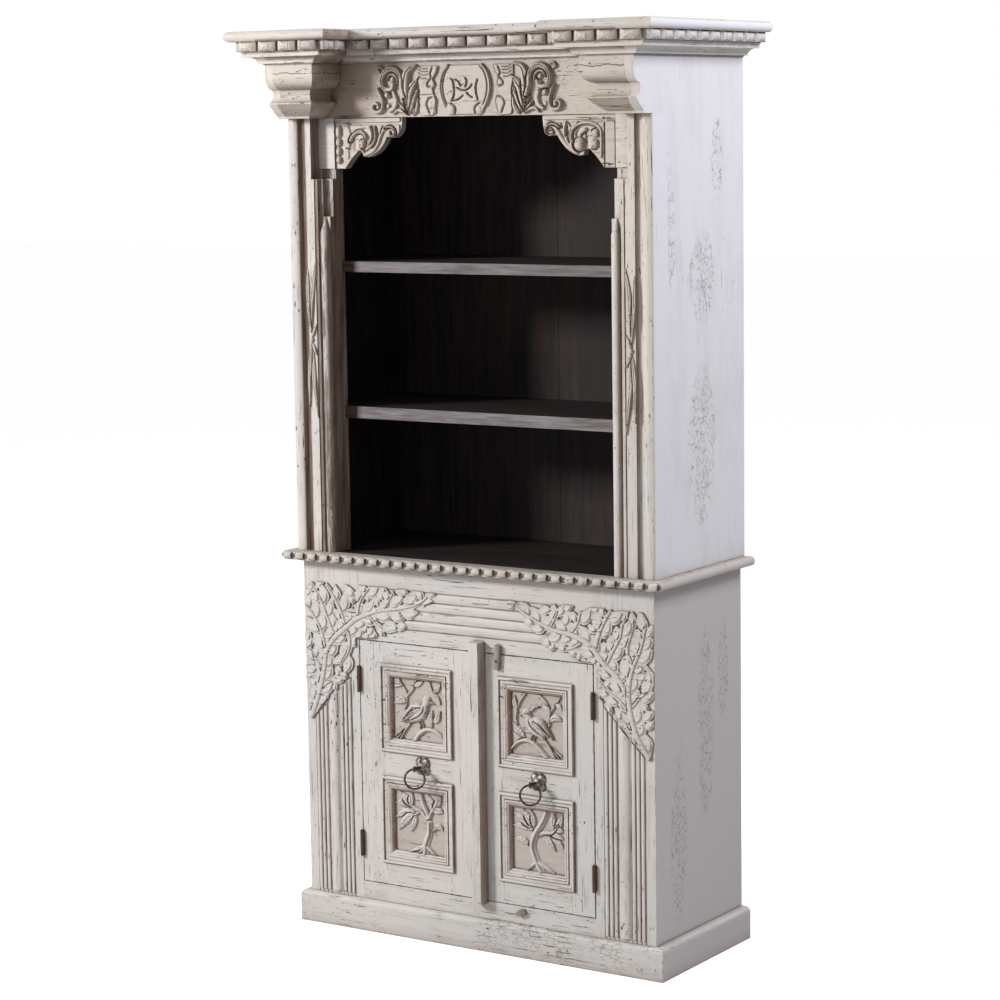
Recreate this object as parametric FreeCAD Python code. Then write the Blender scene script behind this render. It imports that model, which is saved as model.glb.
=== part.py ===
import FreeCAD, Part
import math
import os

os.makedirs("parts", exist_ok=True)
V = FreeCAD.Vector

# A tall carved bookcase: an open case with two shelves stands on a two-door cabinet.
# X runs to the right, Y to the back, Z up, in millimetres. The origin is the middle of the footprint.
# A "depth" is how far a face stands in front of the flat back of the bookcase.

# Overall outline of the cornice, which is the widest and deepest part
height = 2134.0
cornice_width = 1144.0
cornice_depth = 545.0
cornice_board = 24.0
bed_height = 53.0
center_overhang = 67.0
cornice_front_overhang = 57.0
cornice_side_overhang = 77.0

# Boards used all over the case
side_board = 22.0
back_board = 12.0
back_rebate = 10.0
plank_gap = 1.0
plank_count = 6
overrun = 20.0

# Plinth
plinth_side_margin = 23.0
plinth_front_margin = 13.0
plinth_height = 76.0
plinth_board = 45.0
plinth_round = 13.0

# Lower cabinet and its front frame
cabinet_front_setback = 12.0
cabinet_side_setback = 10.5
cabinet_height = 808.0
frame_board = 25.0
stile_width = 158.0
bottom_rail_height = 43.0
top_rail_height = 176.0
floor_board = 20.0
lower_shelf_board = 20.0
lower_shelf_setback = 40.0
cleat_height = 25.0
cleat_width = 18.0
rail_tenon = 30.0
rail_tenon_board = 9.0
tenon_shoulder = 9.0

# Reeds worked on the front frame
column_reed_width = 30.0
column_reed_proud = 5.0
fine_reed_width = 12.0
fine_reed_proud = 3.0
fine_reed_count = 3
reed_gap = 3.0
reed_axis_inset = 79.5
reed_foot_rise = 8.0
carving_height = 270.0
rail_reed_width = 23.0
rail_reed_count = 4
rail_reed_band_height = 142.0
rail_reed_end_margin = 121.5

# Waist board with its row of bobbins
waist_side_overhang = 27.5
waist_front_overhang = 22.0
waist_board = 28.0
waist_step_height = 7.0
bobbin_radius = 9.5
bobbin_groove_radius = 3.0
bobbin_shoulder_radius = 7.5
bobbin_count = 29
bobbin_groove_width = 14.0

# Upper case
jamb_width = 111.0
jamb_thickness = 67.0
jamb_face_setback = 4.0
jamb_bead_width = 28.0
jamb_bead_fall = 1.0
jamb_bead_corner_radius = 6.0
jamb_bead_crown_share = 0.45
jamb_cove_width = 19.0
jamb_cove_depth = 8.0
jamb_groove_width = 3.0
jamb_groove_depth = 4.0
jamb_fillet_width = 7.0
jamb_stop_length = 141.0
half_column_radius = 13.0
half_column_point = 36.0
half_column_tip_radius = 2.5
half_column_stop_length = 228.0

# Frieze, corbels and brackets
frieze_board = 27.0
frieze_setback = 33.0
corbel_height = 124.0
corbel_projection = 77.0
corbel_width = 135.0
corbel_relief = 45.0
bracket_height = 117.0
bracket_reach = 193.0
bracket_board = 17.0
bracket_setback = 6.0
bracket_block_width = 47.0
bracket_block_proud = 5.0
bracket_block_overlap = 1.0
notch_clearance = 0.5
arris_notch_width = 20.0
arris_notch_depth = 26.0

# Dentils
dentil_height = 22.0
dentil_gap = 7.0
side_dentil_gap = 2.0
center_dentil_count = 11
cap_dentil_count = 4
side_dentil_count = 10
return_dentil_count = 2

# Shelves of the open case
shelf_front_setback = 56.0
upper_shelf_board = 25.0
middle_shelf_board = 28.0
shelf_joint_clearance = 0.5
shelf_cleat_height = 22.0

# Doors
door_board = 22.0
door_proud = 0.5
door_gap = 2.0
hinge_gap = 2.6
meeting_gap = 2.5
left_hinge_margin = 58.0
right_hinge_margin = 51.0
left_meeting_margin = 58.65
right_meeting_margin = 65.65
panel_middle_margin = 59.0
panel_top_margin = 50.0
panel_bottom_margin = 52.0
moulding_width = 33.5
moulding_lap_width = 10.0
moulding_proud = 7.0
panel_board = 10.0
panel_sink = 8.0
panel_groove = 8.0
panel_clearance = 0.4
door_tenon = 24.0
door_tenon_board = 8.0
door_tenon_shoulder = 6.0

# Batten on the meeting edge of the right door
batten_width = 31.0
batten_proud = 25.0
batten_top_lap_length = 25.0
batten_bottom_lap_length = 4.0
batten_chamfer = 4.0

# Hinges
hinge_height = 61.0
hinge_leaf = 1.2
hinge_leaf_width = 22.0
hinge_edge_margin = 64.0
hinge_low_margin = 61.0
knuckle_radius = 4.6
hinge_pin_radius = 2.0
hinge_pin_clearance = 0.05
knuckle_clearance = 0.3
hinge_pin_head = 2.0
knuckle_gap = 0.3

# Ring pulls
boss_radius = 14.0
boss_height = 13.0
lobe_radius = 13.0
lobe_height = 8.0
lobe_circle_radius = 12.0
lobe_count = 4
post_radius = 3.6
post_length = 36.0
eye_radius = 7.0
eye_hole_radius = 3.3
eye_thickness = 5.0
ring_radius = 23.5
ring_wire_radius = 2.5
eye_turn_degrees = 30.0

# Turn button and the peg on the bottom rail
button_length = 57.0
button_width = 14.0
button_board = 9.0
button_lower_arm = 20.0
button_side_margin = 37.25
button_top_margin = 14.0
button_clearance = 0.4
button_tilt_degrees = 4.0
nail_radius = 1.6
nail_clearance = 0.05
nail_head_radius = 3.2
nail_head_board = 1.0
nail_length = 22.0
peg_length = 25.0
peg_radius = 6.0
peg_proud = 9.0
peg_middle_offset = 126.0
peg_top_margin = 14.0
peg_tilt_degrees = 20.0

# Moulded outlines, each point as shares of the sizes that it follows
# Corbel: step back from the top's face as a share of the relief, rise as a share of the height.
corbel_shares = {
    "foot": (1.0, 0.0),
    "foot_top": (0.96, 0.04),
    "low_cove": (0.60, 0.145),
    "nose_low": (0.32, 0.25),
    "nose": (0.27, 0.27),
    "nose_top": (0.27, 0.295),
    "cove": (0.62, 0.40),
    "cove_top": (0.55, 0.53),
    "swell": (0.13, 0.62),
    "swell_top": (0.0, 0.74),
    "top": (0.0, 1.0),
}
# Cornice bed: reach as a share of the overhang, rise as a share of the bed's height.
bed_shares = {
    "foot": (0.05, 0.0),
    "step": (0.05, 0.05),
    "step_out": (0.17, 0.05),
    "cove_low": (0.17, 0.14),
    "cove_middle": (0.26, 0.27),
    "cove_top": (0.48, 0.34),
    "fillet_low": (0.56, 0.34),
    "fillet_top": (0.56, 0.50),
    "backing_low": (0.60, 0.54),
    "backing_top": (0.60, 1.0),
}
dentil_reach_share = 0.86
dentil_rim_share = 0.55
dentil_lip_share = 0.72
# Bracket leaf: reach from the jamb and drop from the frieze, as shares of the bracket's sizes.
bracket_shares = {
    "root": (0.0, 0.0),
    "tip": (1.0, 0.0),
    "scroll_start": (0.99, 0.20),
    "scroll_side": (0.955, 0.32),
    "scroll_low": (0.88, 0.40),
    "leaf_start": (0.785, 0.38),
    "leaf_middle": (0.66, 0.65),
    "leaf_tip": (0.50, 0.775),
    "leaf_back": (0.435, 0.76),
    "notch_low": (0.42, 0.655),
    "notch_top": (0.36, 0.645),
    "lobe_middle": (0.27, 0.79),
    "lobe_end": (0.165, 0.99),
    "lobe_foot": (0.165, 1.0),
    "foot": (0.0, 1.0),
}

# Panel moulding: place across its width, and rise above the door as a share of its projection.
# A negative rise is a share of the panel's sink below the door's face.
moulding_shares = {
    "outer": (0.0, 0.0),
    "outer_top": (0.0, 0.45),
    "bead": (0.10, 1.0),
    "bead_end": (0.22, 0.70),
    "flat_start": (0.22, 0.45),
    "flat_end": (0.50, 0.30),
    "slope_start": (0.50, 0.60),
    "slope": (0.78, 0.25),
    "slope_end": (1.0, -0.70),
    "inner": (1.0, -1.0),
}
# Places of the shelves as shares of the height that they divide, and of the pulls on the doors.
upper_shelf_share = 0.673
middle_shelf_share = 0.338
lower_shelf_share = 0.408
left_pull_share = 0.55
right_pull_share = 0.46
pull_height_share = 0.51
pin_head_share = 0.8
post_seat_share = 0.5
post_wall_share = 0.38

# Places that follow from the sizes above
back_y = cornice_depth / 2
half_case = cornice_width / 2 - cornice_side_overhang
half_waist = half_case + waist_side_overhang
half_cabinet = half_case - cabinet_side_setback
half_plinth = half_cabinet + plinth_side_margin
corbel_depth = cornice_depth - cornice_front_overhang
upper_depth = corbel_depth - corbel_projection
frieze_depth = upper_depth - frieze_setback
bracket_depth = frieze_depth - bracket_setback
shelf_front_depth = upper_depth - shelf_front_setback
waist_depth = upper_depth + waist_front_overhang
cabinet_depth = upper_depth - cabinet_front_setback
plinth_depth = cabinet_depth + plinth_front_margin
cabinet_top = plinth_height + cabinet_height
waist_top = cabinet_top + waist_board
cornice_bottom = height - cornice_board - bed_height
bed_top = height - cornice_board
corbel_bottom = cornice_bottom - corbel_height
jamb_inner = half_case - jamb_width
jamb_back = upper_depth - jamb_thickness
bracket_bottom = corbel_bottom - bracket_height
opening_half = half_cabinet - stile_width
opening_bottom = plinth_height + bottom_rail_height
opening_top = cabinet_top - top_rail_height
frame_back = cabinet_depth - frame_board
door_front = cabinet_depth + door_proud
door_bottom = opening_bottom + door_gap
door_top = opening_top - door_gap
door_width = opening_half - hinge_gap - meeting_gap / 2
open_height = corbel_bottom - waist_top
lower_shelf_z = plinth_height + lower_shelf_share * cabinet_height
middle_shelf_z = waist_top + middle_shelf_share * open_height
upper_shelf_z = waist_top + upper_shelf_share * open_height
pin_depth = door_front + knuckle_radius + knuckle_clearance
corbel_inner = half_case - corbel_width
dentil_level = bed_top - dentil_height / 2


def box(x0, x1, d0, d1, z0, z1):
    """A board between two x places, two depths and two heights."""
    return Part.makeBox(x1 - x0, d1 - d0, z1 - z0, V(x0, back_y - d1, z0))


def mirrored(shape):
    return shape.mirror(V(0, 0, 0), V(1, 0, 0))


def face_of(edges):
    """A flat face inside a closed run of edges, given in any order."""
    return Part.Face(Part.Wire(Part.__sortEdges__(edges)))


def line(a, b):
    return Part.makeLine(a, b)


def arc(a, middle, b):
    return Part.Arc(a, middle, b).toShape()


def polygon(points):
    return Part.Face(Part.makePolygon(points + points[:1]))


def plan_prism(points, z0, z1):
    """A prism over an outline given as (x, depth)."""
    outline = polygon([V(x, back_y - d, z0) for x, d in points])
    return outline.extrude(V(0, 0, z1 - z0))


def along_x(edges_at, x0, x1):
    """Extrude a (depth, height) outline from x0 to x1; edges_at takes a point maker."""
    outline = face_of(edges_at(lambda d, z: V(x0, back_y - d, z)))
    return outline.extrude(V(x1 - x0, 0, 0))


def along_depth(edges_at, d0, d1):
    """Extrude an (x, height) outline from depth d0 to d1."""
    outline = face_of(edges_at(lambda x, z: V(x, back_y - d0, z)))
    return outline.extrude(V(0, d0 - d1, 0))


def joined(shapes):
    """One body from shapes that overlap or meet."""
    return shapes[0].fuse(shapes[1:]).removeSplitter()


def group(shapes):
    """Separate bodies kept together."""
    return Part.makeCompound(shapes)


# Plinth: four thick boards, mitred at the front corners, with a rounded top edge

def plinth_block():
    r = plinth_round
    h = plinth_height
    w = half_plinth
    rise = r * math.sin(math.radians(45))

    def front(p):
        f = plinth_depth
        mid = p(f - r + rise, h - r + rise)
        return [line(p(0, 0), p(f, 0)), line(p(f, 0), p(f, h - r)), arc(p(f, h - r), mid, p(f - r, h)),
                line(p(f - r, h), p(0, h)), line(p(0, h), p(0, 0))]

    def sides(p):
        left = p(-w + r - rise, h - r + rise)
        right = p(w - r + rise, h - r + rise)
        return [line(p(-w, 0), p(w, 0)), line(p(w, 0), p(w, h - r)), arc(p(w, h - r), right, p(w - r, h)),
                line(p(w - r, h), p(-w + r, h)), arc(p(-w + r, h), left, p(-w, h - r)),
                line(p(-w, h - r), p(-w, 0))]

    return along_x(front, -w, w).common(along_depth(sides, 0, plinth_depth))


def plinth_front():
    w = half_plinth
    t = plinth_board
    f = plinth_depth
    mitre = plan_prism([(-w, f), (w, f), (w - t, f - t), (t - w, f - t)], 0, plinth_height)
    return plinth_block().common(mitre)


def plinth_side():
    w = half_plinth
    t = plinth_board
    f = plinth_depth
    mitre = plan_prism([(w, f), (w, 0), (w - t, 0), (w - t, f - t)], 0, plinth_height)
    return plinth_block().common(mitre)


def plinth_back():
    w = half_plinth - plinth_board
    return box(-w, w, 0, plinth_board, 0, plinth_height)


# Lower cabinet

def lower_floor():
    w = half_cabinet - side_board
    return box(-w, w, back_board, frame_back, plinth_height, plinth_height + floor_board)


def lower_side():
    panel = box(half_cabinet - side_board, half_cabinet, 0, frame_back, plinth_height, cabinet_top)
    inner = half_cabinet - side_board
    rebate = box(inner, inner + back_rebate, 0, back_board, plinth_height, cabinet_top)
    return panel.cut(rebate)


def planks(half_width, z0, z1):
    pitch = 2 * half_width / plank_count
    boards = []
    for i in range(plank_count):
        start = -half_width + i * pitch
        end = start + pitch - (plank_gap if i < plank_count - 1 else 0)
        boards.append(box(start, end, 0, back_board, z0, z1))
    return group(boards)


def lower_back_planks():
    return planks(half_cabinet - side_board + back_rebate, plinth_height, cabinet_top)


def lower_shelf():
    w = half_cabinet - side_board
    front = frame_back - lower_shelf_setback
    return box(-w, w, back_board, front, lower_shelf_z, lower_shelf_z + lower_shelf_board)


def lower_shelf_cleat():
    w = half_cabinet - side_board
    front = frame_back - lower_shelf_setback
    return box(w - cleat_width, w, back_board, front, lower_shelf_z - cleat_height, lower_shelf_z)


def upright_reed(width, proud, z0, z1, x):
    """A convex reed on the frame's face, upright at x from z0 to z1."""
    face = back_y - cabinet_depth
    left = V(x - width / 2, face, z0)
    right = V(x + width / 2, face, z0)
    crown = V(x, face - proud, z0)
    return face_of([line(right, left), arc(left, crown, right)]).extrude(V(0, 0, z1 - z0))


def stile_reeds():
    """The reeds of the right stile: a half round with three fine reeds on each side."""
    axis = half_cabinet - reed_axis_inset
    z0 = plinth_height + reed_foot_rise
    z1 = cabinet_top
    reeds = [upright_reed(column_reed_width, column_reed_proud, z0, z1, axis)]
    for side in (-1, 1):
        for i in range(fine_reed_count):
            offset = column_reed_width / 2 + reed_gap + fine_reed_width * (i + 1 / 2)
            reeds.append(upright_reed(fine_reed_width, fine_reed_proud, z0, z1, axis + side * offset))
    reach = column_reed_width / 2 + reed_gap + fine_reed_count * fine_reed_width
    front = cabinet_depth + overrun
    z_in = cabinet_top - carving_height
    z_out = z_in - 2 * reach

    def above(p):
        return [line(p(axis - reach, z_in), p(axis + reach, z_out)),
                line(p(axis + reach, z_out), p(axis + reach, cabinet_top)),
                line(p(axis + reach, cabinet_top), p(axis - reach, cabinet_top)),
                line(p(axis - reach, cabinet_top), p(axis - reach, z_in))]

    ends = along_depth(above, frame_back, front)
    return [reed.cut(ends) for reed in reeds]


def rail_mortises(x0, x1):
    """The slots in a stile that take the tenons of the two rails."""
    d0 = frame_back + (frame_board - rail_tenon_board) / 2
    d1 = d0 + rail_tenon_board
    low = box(x0, x1, d0, d1, plinth_height + tenon_shoulder, opening_bottom - tenon_shoulder)
    high = box(x0, x1, d0, d1, opening_top + tenon_shoulder, cabinet_top - tenon_shoulder)
    return [low, high]


def frame_stile():
    board = box(opening_half, half_cabinet, frame_back, cabinet_depth, plinth_height, cabinet_top)
    stile = joined([board] + stile_reeds())
    for slot in rail_mortises(opening_half, opening_half + rail_tenon):
        stile = stile.cut(slot)
    return stile


def rail_with_tenons(z0, z1):
    d0 = frame_back + (frame_board - rail_tenon_board) / 2
    board = box(-opening_half, opening_half, frame_back, cabinet_depth, z0, z1)
    reach = opening_half + rail_tenon
    tenon = box(-reach, reach, d0, d0 + rail_tenon_board, z0 + tenon_shoulder, z1 - tenon_shoulder)
    return [board, tenon]


def rail_reed(z):
    """One long reed on the top rail with sloping ends that follow the carving beside it."""
    half = opening_half - rail_reed_end_margin - (z - (cabinet_top - rail_reed_band_height))
    face = back_y - cabinet_depth
    low = V(-half, face, z)
    high = V(-half, face, z + rail_reed_width)
    crown = V(-half, face - fine_reed_proud, z + rail_reed_width / 2)
    return face_of([line(high, low), arc(low, crown, high)]).extrude(V(2 * half, 0, 0))


def frame_top_rail():
    pieces = rail_with_tenons(opening_top, cabinet_top)
    for i in range(rail_reed_count):
        pieces.append(rail_reed(cabinet_top - rail_reed_band_height + i * rail_reed_width))
    return joined(pieces)


def frame_bottom_rail():
    return joined(rail_with_tenons(plinth_height, opening_bottom))


def bottom_peg():
    """A short peg nailed to the bottom rail, lying nearly level."""
    x = peg_middle_offset
    z = opening_bottom - peg_top_margin
    half = peg_length / 2 - peg_radius
    foot = back_y - cabinet_depth
    out = V(0, -1, 0)
    slab = Part.makeBox(2 * half, peg_proud, 2 * peg_radius, V(x - half, foot - peg_proud, z - peg_radius))
    ends = [Part.makeCylinder(peg_radius, peg_proud, V(x + s * half, foot, z), out) for s in (-1, 1)]
    peg = joined([slab] + ends)
    peg.rotate(V(x, foot, z), out, peg_tilt_degrees)
    return peg


# Waist board and bobbins

def waist():
    """The board on top of the cabinet: a moulded edge over a step as wide as the cabinet."""
    w = half_waist
    z0 = cabinet_top + waist_step_height
    z1 = waist_top
    r = (z1 - z0) / 2

    def outline(p):
        return [line(p(-w + r, z0), p(w - r, z0)), arc(p(w - r, z0), p(w, z0 + r), p(w - r, z1)),
                line(p(w - r, z1), p(-w + r, z1)), arc(p(-w + r, z1), p(-w, z0 + r), p(-w + r, z0))]

    step = box(-half_cabinet, half_cabinet, 0, cabinet_depth, cabinet_top, z0)
    return joined([along_depth(outline, 0, waist_depth), step])


def bobbin_axis():
    return (cabinet_top + waist_step_height + waist_top) / 2


def bobbin_outline(start, pitch):
    """Edges of one bobbin from its groove to the next, above the spindle's axis."""
    y = back_y - waist_depth
    z = bobbin_axis()
    wall = bobbin_groove_width / 2

    def at(x, radius):
        return V(start + x, y, z + radius)

    groove_end = at(wall, bobbin_groove_radius)
    shoulder = at(wall, bobbin_shoulder_radius)
    top = at(pitch / 2, bobbin_radius)
    far_shoulder = at(pitch - wall, bobbin_shoulder_radius)
    far_groove = at(pitch - wall, bobbin_groove_radius)
    return [line(at(0, bobbin_groove_radius), groove_end),
            line(groove_end, shoulder),
            arc(shoulder, top, far_shoulder),
            line(far_shoulder, far_groove),
            line(far_groove, at(pitch, bobbin_groove_radius))]


def waist_bobbins():
    """A split spindle along the front edge of the waist board."""
    pitch = 2 * half_waist / bobbin_count
    y = back_y - waist_depth
    z = bobbin_axis()
    left = -half_waist
    right = half_waist
    edges = [line(V(left, y, z), V(left, y, z + bobbin_groove_radius))]
    for i in range(bobbin_count):
        edges += bobbin_outline(left + i * pitch, pitch)
    edges.append(line(V(right, y, z + bobbin_groove_radius), V(right, y, z)))
    edges.append(line(V(right, y, z), V(left, y, z)))
    return face_of(edges).revolve(V(0, y, z), V(1, 0, 0), 180)


# Upper case

def corbel_edges(p, reach, sense):
    """The moulded edge of a corbel from its foot to its top.

    reach is the place of the top's face and sense is the way in which the moulding steps back."""
    at = {}
    for name, (step_share, rise_share) in corbel_shares.items():
        at[name] = p(reach + sense * step_share * corbel_relief,
                     corbel_bottom + rise_share * corbel_height)
    return [line(at["foot"], at["foot_top"]),
            arc(at["foot_top"], at["low_cove"], at["nose_low"]),
            line(at["nose_low"], at["nose"]),
            line(at["nose"], at["nose_top"]),
            arc(at["nose_top"], at["cove"], at["cove_top"]),
            arc(at["cove_top"], at["swell"], at["swell_top"]),
            line(at["swell_top"], at["top"])]


def corbel():
    """The right corbel: its moulding runs across the front and returns along the inner side."""
    top = cornice_bottom
    low = corbel_bottom

    def front(p):
        edges = corbel_edges(p, corbel_depth, -1)
        foot = corbel_depth - corbel_relief
        return edges + [line(p(corbel_depth, top), p(frieze_depth, top)),
                        line(p(frieze_depth, top), p(frieze_depth, low)),
                        line(p(frieze_depth, low), p(foot, low))]

    def side(p):
        edges = corbel_edges(p, corbel_inner, 1)
        outer = half_case - side_board
        foot = corbel_inner + corbel_relief
        return edges + [line(p(corbel_inner, top), p(outer, top)), line(p(outer, top), p(outer, low)),
                        line(p(outer, low), p(foot, low))]

    across = along_x(front, corbel_inner, half_case - side_board)
    return across.common(along_depth(side, frieze_depth, corbel_depth))


def upper_side():
    """The right side board, whose front edge follows the corbel above the jamb."""
    def outline(p):
        foot = corbel_depth - corbel_relief
        edges = corbel_edges(p, corbel_depth, -1)
        return edges + [line(p(corbel_depth, cornice_bottom), p(frieze_depth, cornice_bottom)),
                        line(p(frieze_depth, cornice_bottom), p(frieze_depth, bed_top)),
                        line(p(frieze_depth, bed_top), p(0, bed_top)), line(p(0, bed_top), p(0, waist_top)),
                        line(p(0, waist_top), p(jamb_back, waist_top)),
                        line(p(jamb_back, waist_top), p(jamb_back, corbel_bottom)),
                        line(p(jamb_back, corbel_bottom), p(foot, corbel_bottom))]

    inner = half_case - side_board
    rebate = box(inner, inner + back_rebate, 0, back_board, waist_top, bed_top)
    return along_x(outline, inner, half_case).cut(rebate)


def upper_back_planks():
    return planks(half_case - side_board + back_rebate, waist_top, bed_top)


def jamb_blank():
    """The right jamb before its grooves: an outer bead, a cove and a flat face."""
    face = upper_depth - jamb_face_setback
    outer = half_case
    cove_end = outer - jamb_bead_width
    cove_start = cove_end - jamb_cove_width
    cove_mid = (cove_start + cove_end) / 2
    crown = cove_end + jamb_bead_crown_share * jamb_bead_width
    r = jamb_bead_corner_radius
    fall = upper_depth - jamb_bead_fall
    slant = r * math.sin(math.radians(45))

    def at(x, d):
        return V(x, back_y - d, waist_top)

    corner = at(outer - r + slant, fall - r + slant)
    step = upper_depth - half_column_radius
    column_end = jamb_inner + 2 * half_column_radius
    edges = [line(at(jamb_inner, jamb_back), at(jamb_inner, step)),
             line(at(jamb_inner, step), at(column_end, step)),
             line(at(column_end, step), at(column_end, face)),
             line(at(column_end, face), at(cove_start, face)),
             arc(at(cove_start, face), at(cove_mid, face - jamb_cove_depth), at(cove_end, face)),
             arc(at(cove_end, face), at(crown, upper_depth), at(outer - r, fall)),
             arc(at(outer - r, fall), corner, at(outer, fall - r)),
             line(at(outer, fall - r), at(outer, jamb_back)),
             line(at(outer, jamb_back), at(jamb_inner, jamb_back))]
    return face_of(edges).extrude(V(0, 0, corbel_bottom - waist_top))


def jamb():
    """The right jamb with its fillet grooves and the recesses at and under the bracket."""
    column_end = jamb_inner + 2 * half_column_radius
    face = upper_depth - jamb_face_setback
    groove_top = corbel_bottom - jamb_stop_length
    post = jamb_blank()
    for start in (column_end, column_end + jamb_groove_width + jamb_fillet_width):
        post = post.cut(box(start, start + jamb_groove_width, face - jamb_groove_depth, upper_depth,
                            waist_top, groove_top))
    block_end = jamb_inner - bracket_block_overlap + bracket_block_width + notch_clearance
    post = post.cut(box(jamb_inner, block_end, bracket_depth, upper_depth, groove_top, corbel_bottom))
    arris = box(jamb_inner, jamb_inner + arris_notch_width, upper_depth - arris_notch_depth, upper_depth,
                corbel_bottom - half_column_stop_length, groove_top)
    return post.cut(arris)


def half_column():
    """The half round on the inner edge of the right jamb, pointed at its top."""
    x = jamb_inner + half_column_radius
    y = back_y - upper_depth + half_column_radius
    top = corbel_bottom - half_column_stop_length
    shaft_top = top - half_column_point
    shaft = Part.makeCylinder(half_column_radius, shaft_top - waist_top, V(x, y, waist_top))
    tip = Part.makeCone(half_column_radius, half_column_tip_radius, half_column_point, V(x, y, shaft_top))
    column = joined([shaft, tip])
    front = box(jamb_inner, x + half_column_radius, upper_depth - half_column_radius, upper_depth,
                waist_top, top)
    return column.common(front)


def frieze():
    w = half_case - side_board
    return box(-w, w, frieze_depth - frieze_board, frieze_depth, corbel_bottom, bed_top)


def bracket():
    """The right bracket: a block on the jamb and a board cut to a leaf and scroll."""
    at = {}
    for name, (reach_share, drop_share) in bracket_shares.items():
        at[name] = V(jamb_inner - reach_share * bracket_reach, back_y - bracket_depth,
                     corbel_bottom - drop_share * bracket_height)
    edges = [line(at["root"], at["tip"]),
             line(at["tip"], at["scroll_start"]),
             arc(at["scroll_start"], at["scroll_side"], at["scroll_low"]),
             line(at["scroll_low"], at["leaf_start"]),
             arc(at["leaf_start"], at["leaf_middle"], at["leaf_tip"]),
             line(at["leaf_tip"], at["leaf_back"]),
             line(at["leaf_back"], at["notch_low"]),
             line(at["notch_low"], at["notch_top"]),
             arc(at["notch_top"], at["lobe_middle"], at["lobe_end"]),
             line(at["lobe_end"], at["lobe_foot"]),
             line(at["lobe_foot"], at["foot"]),
             line(at["foot"], at["root"])]
    leaf = face_of(edges).extrude(V(0, bracket_board, 0))
    block_inner = jamb_inner - bracket_block_overlap
    block = box(block_inner, block_inner + bracket_block_width,
                bracket_depth, bracket_depth + bracket_block_proud, bracket_bottom, corbel_bottom)
    return joined([leaf, block])


def notched_shelf(z_top, board):
    """A shelf between the side boards, cut round the two jambs."""
    w = half_case - side_board
    shelf = box(-w, w, back_board, shelf_front_depth, z_top - board, z_top)
    c = shelf_joint_clearance
    corner = box(jamb_inner - c, w, jamb_back - c, shelf_front_depth, z_top - board, z_top)
    return shelf.cut(corner).cut(mirrored(corner))


def upper_shelf():
    return notched_shelf(upper_shelf_z, upper_shelf_board)


def middle_shelf():
    return notched_shelf(middle_shelf_z, middle_shelf_board)


def shelf_cleats():
    """The strips on both sides that carry the three shelves."""
    w = half_case - side_board
    right = [lower_shelf_cleat()]
    for z in (upper_shelf_z - upper_shelf_board, middle_shelf_z - middle_shelf_board):
        right.append(box(w - cleat_width, w, back_board, jamb_back, z - shelf_cleat_height, z))
    return group([mirrored(cleat) for cleat in right] + right)


# Cornice

def bed_edges(p, face, overhang):
    """The moulded edge under the dentils, from the bottom of the cornice to its board.

    face is the wall under the cornice and overhang is the reach of the cornice board past it."""
    at = {}
    for name, (reach_share, rise_share) in bed_shares.items():
        at[name] = p(face + reach_share * overhang, cornice_bottom + rise_share * bed_height)
    return [line(at["foot"], at["step"]),
            line(at["step"], at["step_out"]),
            line(at["step_out"], at["cove_low"]),
            arc(at["cove_low"], at["cove_middle"], at["cove_top"]),
            line(at["cove_top"], at["fillet_low"]),
            line(at["fillet_low"], at["fillet_top"]),
            line(at["fillet_top"], at["backing_low"]),
            line(at["backing_low"], at["backing_top"])]


def bed_foot(face, overhang):
    return face + bed_shares["foot"][0] * overhang


def bed_backing(face, overhang):
    """Where the flat behind the dentils stands."""
    return face + bed_shares["backing_top"][0] * overhang


def bed_front(face, overhang):
    """A bed moulding that looks to the front, as an outline of depth and height behind to the frieze."""
    def outline(p):
        return bed_edges(p, face, overhang) + [
            line(p(bed_backing(face, overhang), bed_top), p(frieze_depth, bed_top)),
            line(p(frieze_depth, bed_top), p(frieze_depth, cornice_bottom)),
            line(p(frieze_depth, cornice_bottom), p(bed_foot(face, overhang), cornice_bottom))]
    return outline


def cap_sides(p):
    """The moulded outer and inner sides of the right end of the cornice, as an outline of x and height."""
    reach = cornice_side_overhang
    outer = bed_edges(p, half_case, reach)
    inner = bed_edges(p, corbel_inner, -reach)
    top = line(p(bed_backing(half_case, reach), bed_top), p(bed_backing(corbel_inner, -reach), bed_top))
    low = line(p(bed_foot(half_case, reach), cornice_bottom),
               p(bed_foot(corbel_inner, -reach), cornice_bottom))
    return outer + inner + [top, low]


def cornice_cap():
    """The right end of the bed, which stands forward over the corbel."""
    inner = corbel_inner - cornice_side_overhang
    outer = half_case + cornice_side_overhang
    across = along_x(bed_front(corbel_depth, cornice_front_overhang), inner, outer)
    block = across.common(along_depth(cap_sides, frieze_depth, cornice_depth))
    front = frieze_depth + center_overhang
    corner = [(corbel_inner, frieze_depth), (inner, front), (inner, frieze_depth)]
    return block.cut(plan_prism(corner, cornice_bottom, bed_top))


def cornice_center():
    """The bed between the two ends, mitred into their inner sides."""
    w = corbel_inner
    tip = corbel_inner - cornice_side_overhang
    front = frieze_depth + center_overhang
    strip = along_x(bed_front(frieze_depth, center_overhang), -w, w)
    mitred = [(-w, frieze_depth), (w, frieze_depth), (tip, front), (-tip, front)]
    return strip.common(plan_prism(mitred, cornice_bottom, bed_top))


def cornice_side():
    """The bed along the right side board."""
    reach = cornice_side_overhang

    def outline(p):
        return bed_edges(p, half_case, reach) + [
            line(p(bed_backing(half_case, reach), bed_top), p(half_case, bed_top)),
            line(p(half_case, bed_top), p(half_case, cornice_bottom)),
            line(p(half_case, cornice_bottom), p(bed_foot(half_case, reach), cornice_bottom))]
    return along_depth(outline, 0, frieze_depth)


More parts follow.
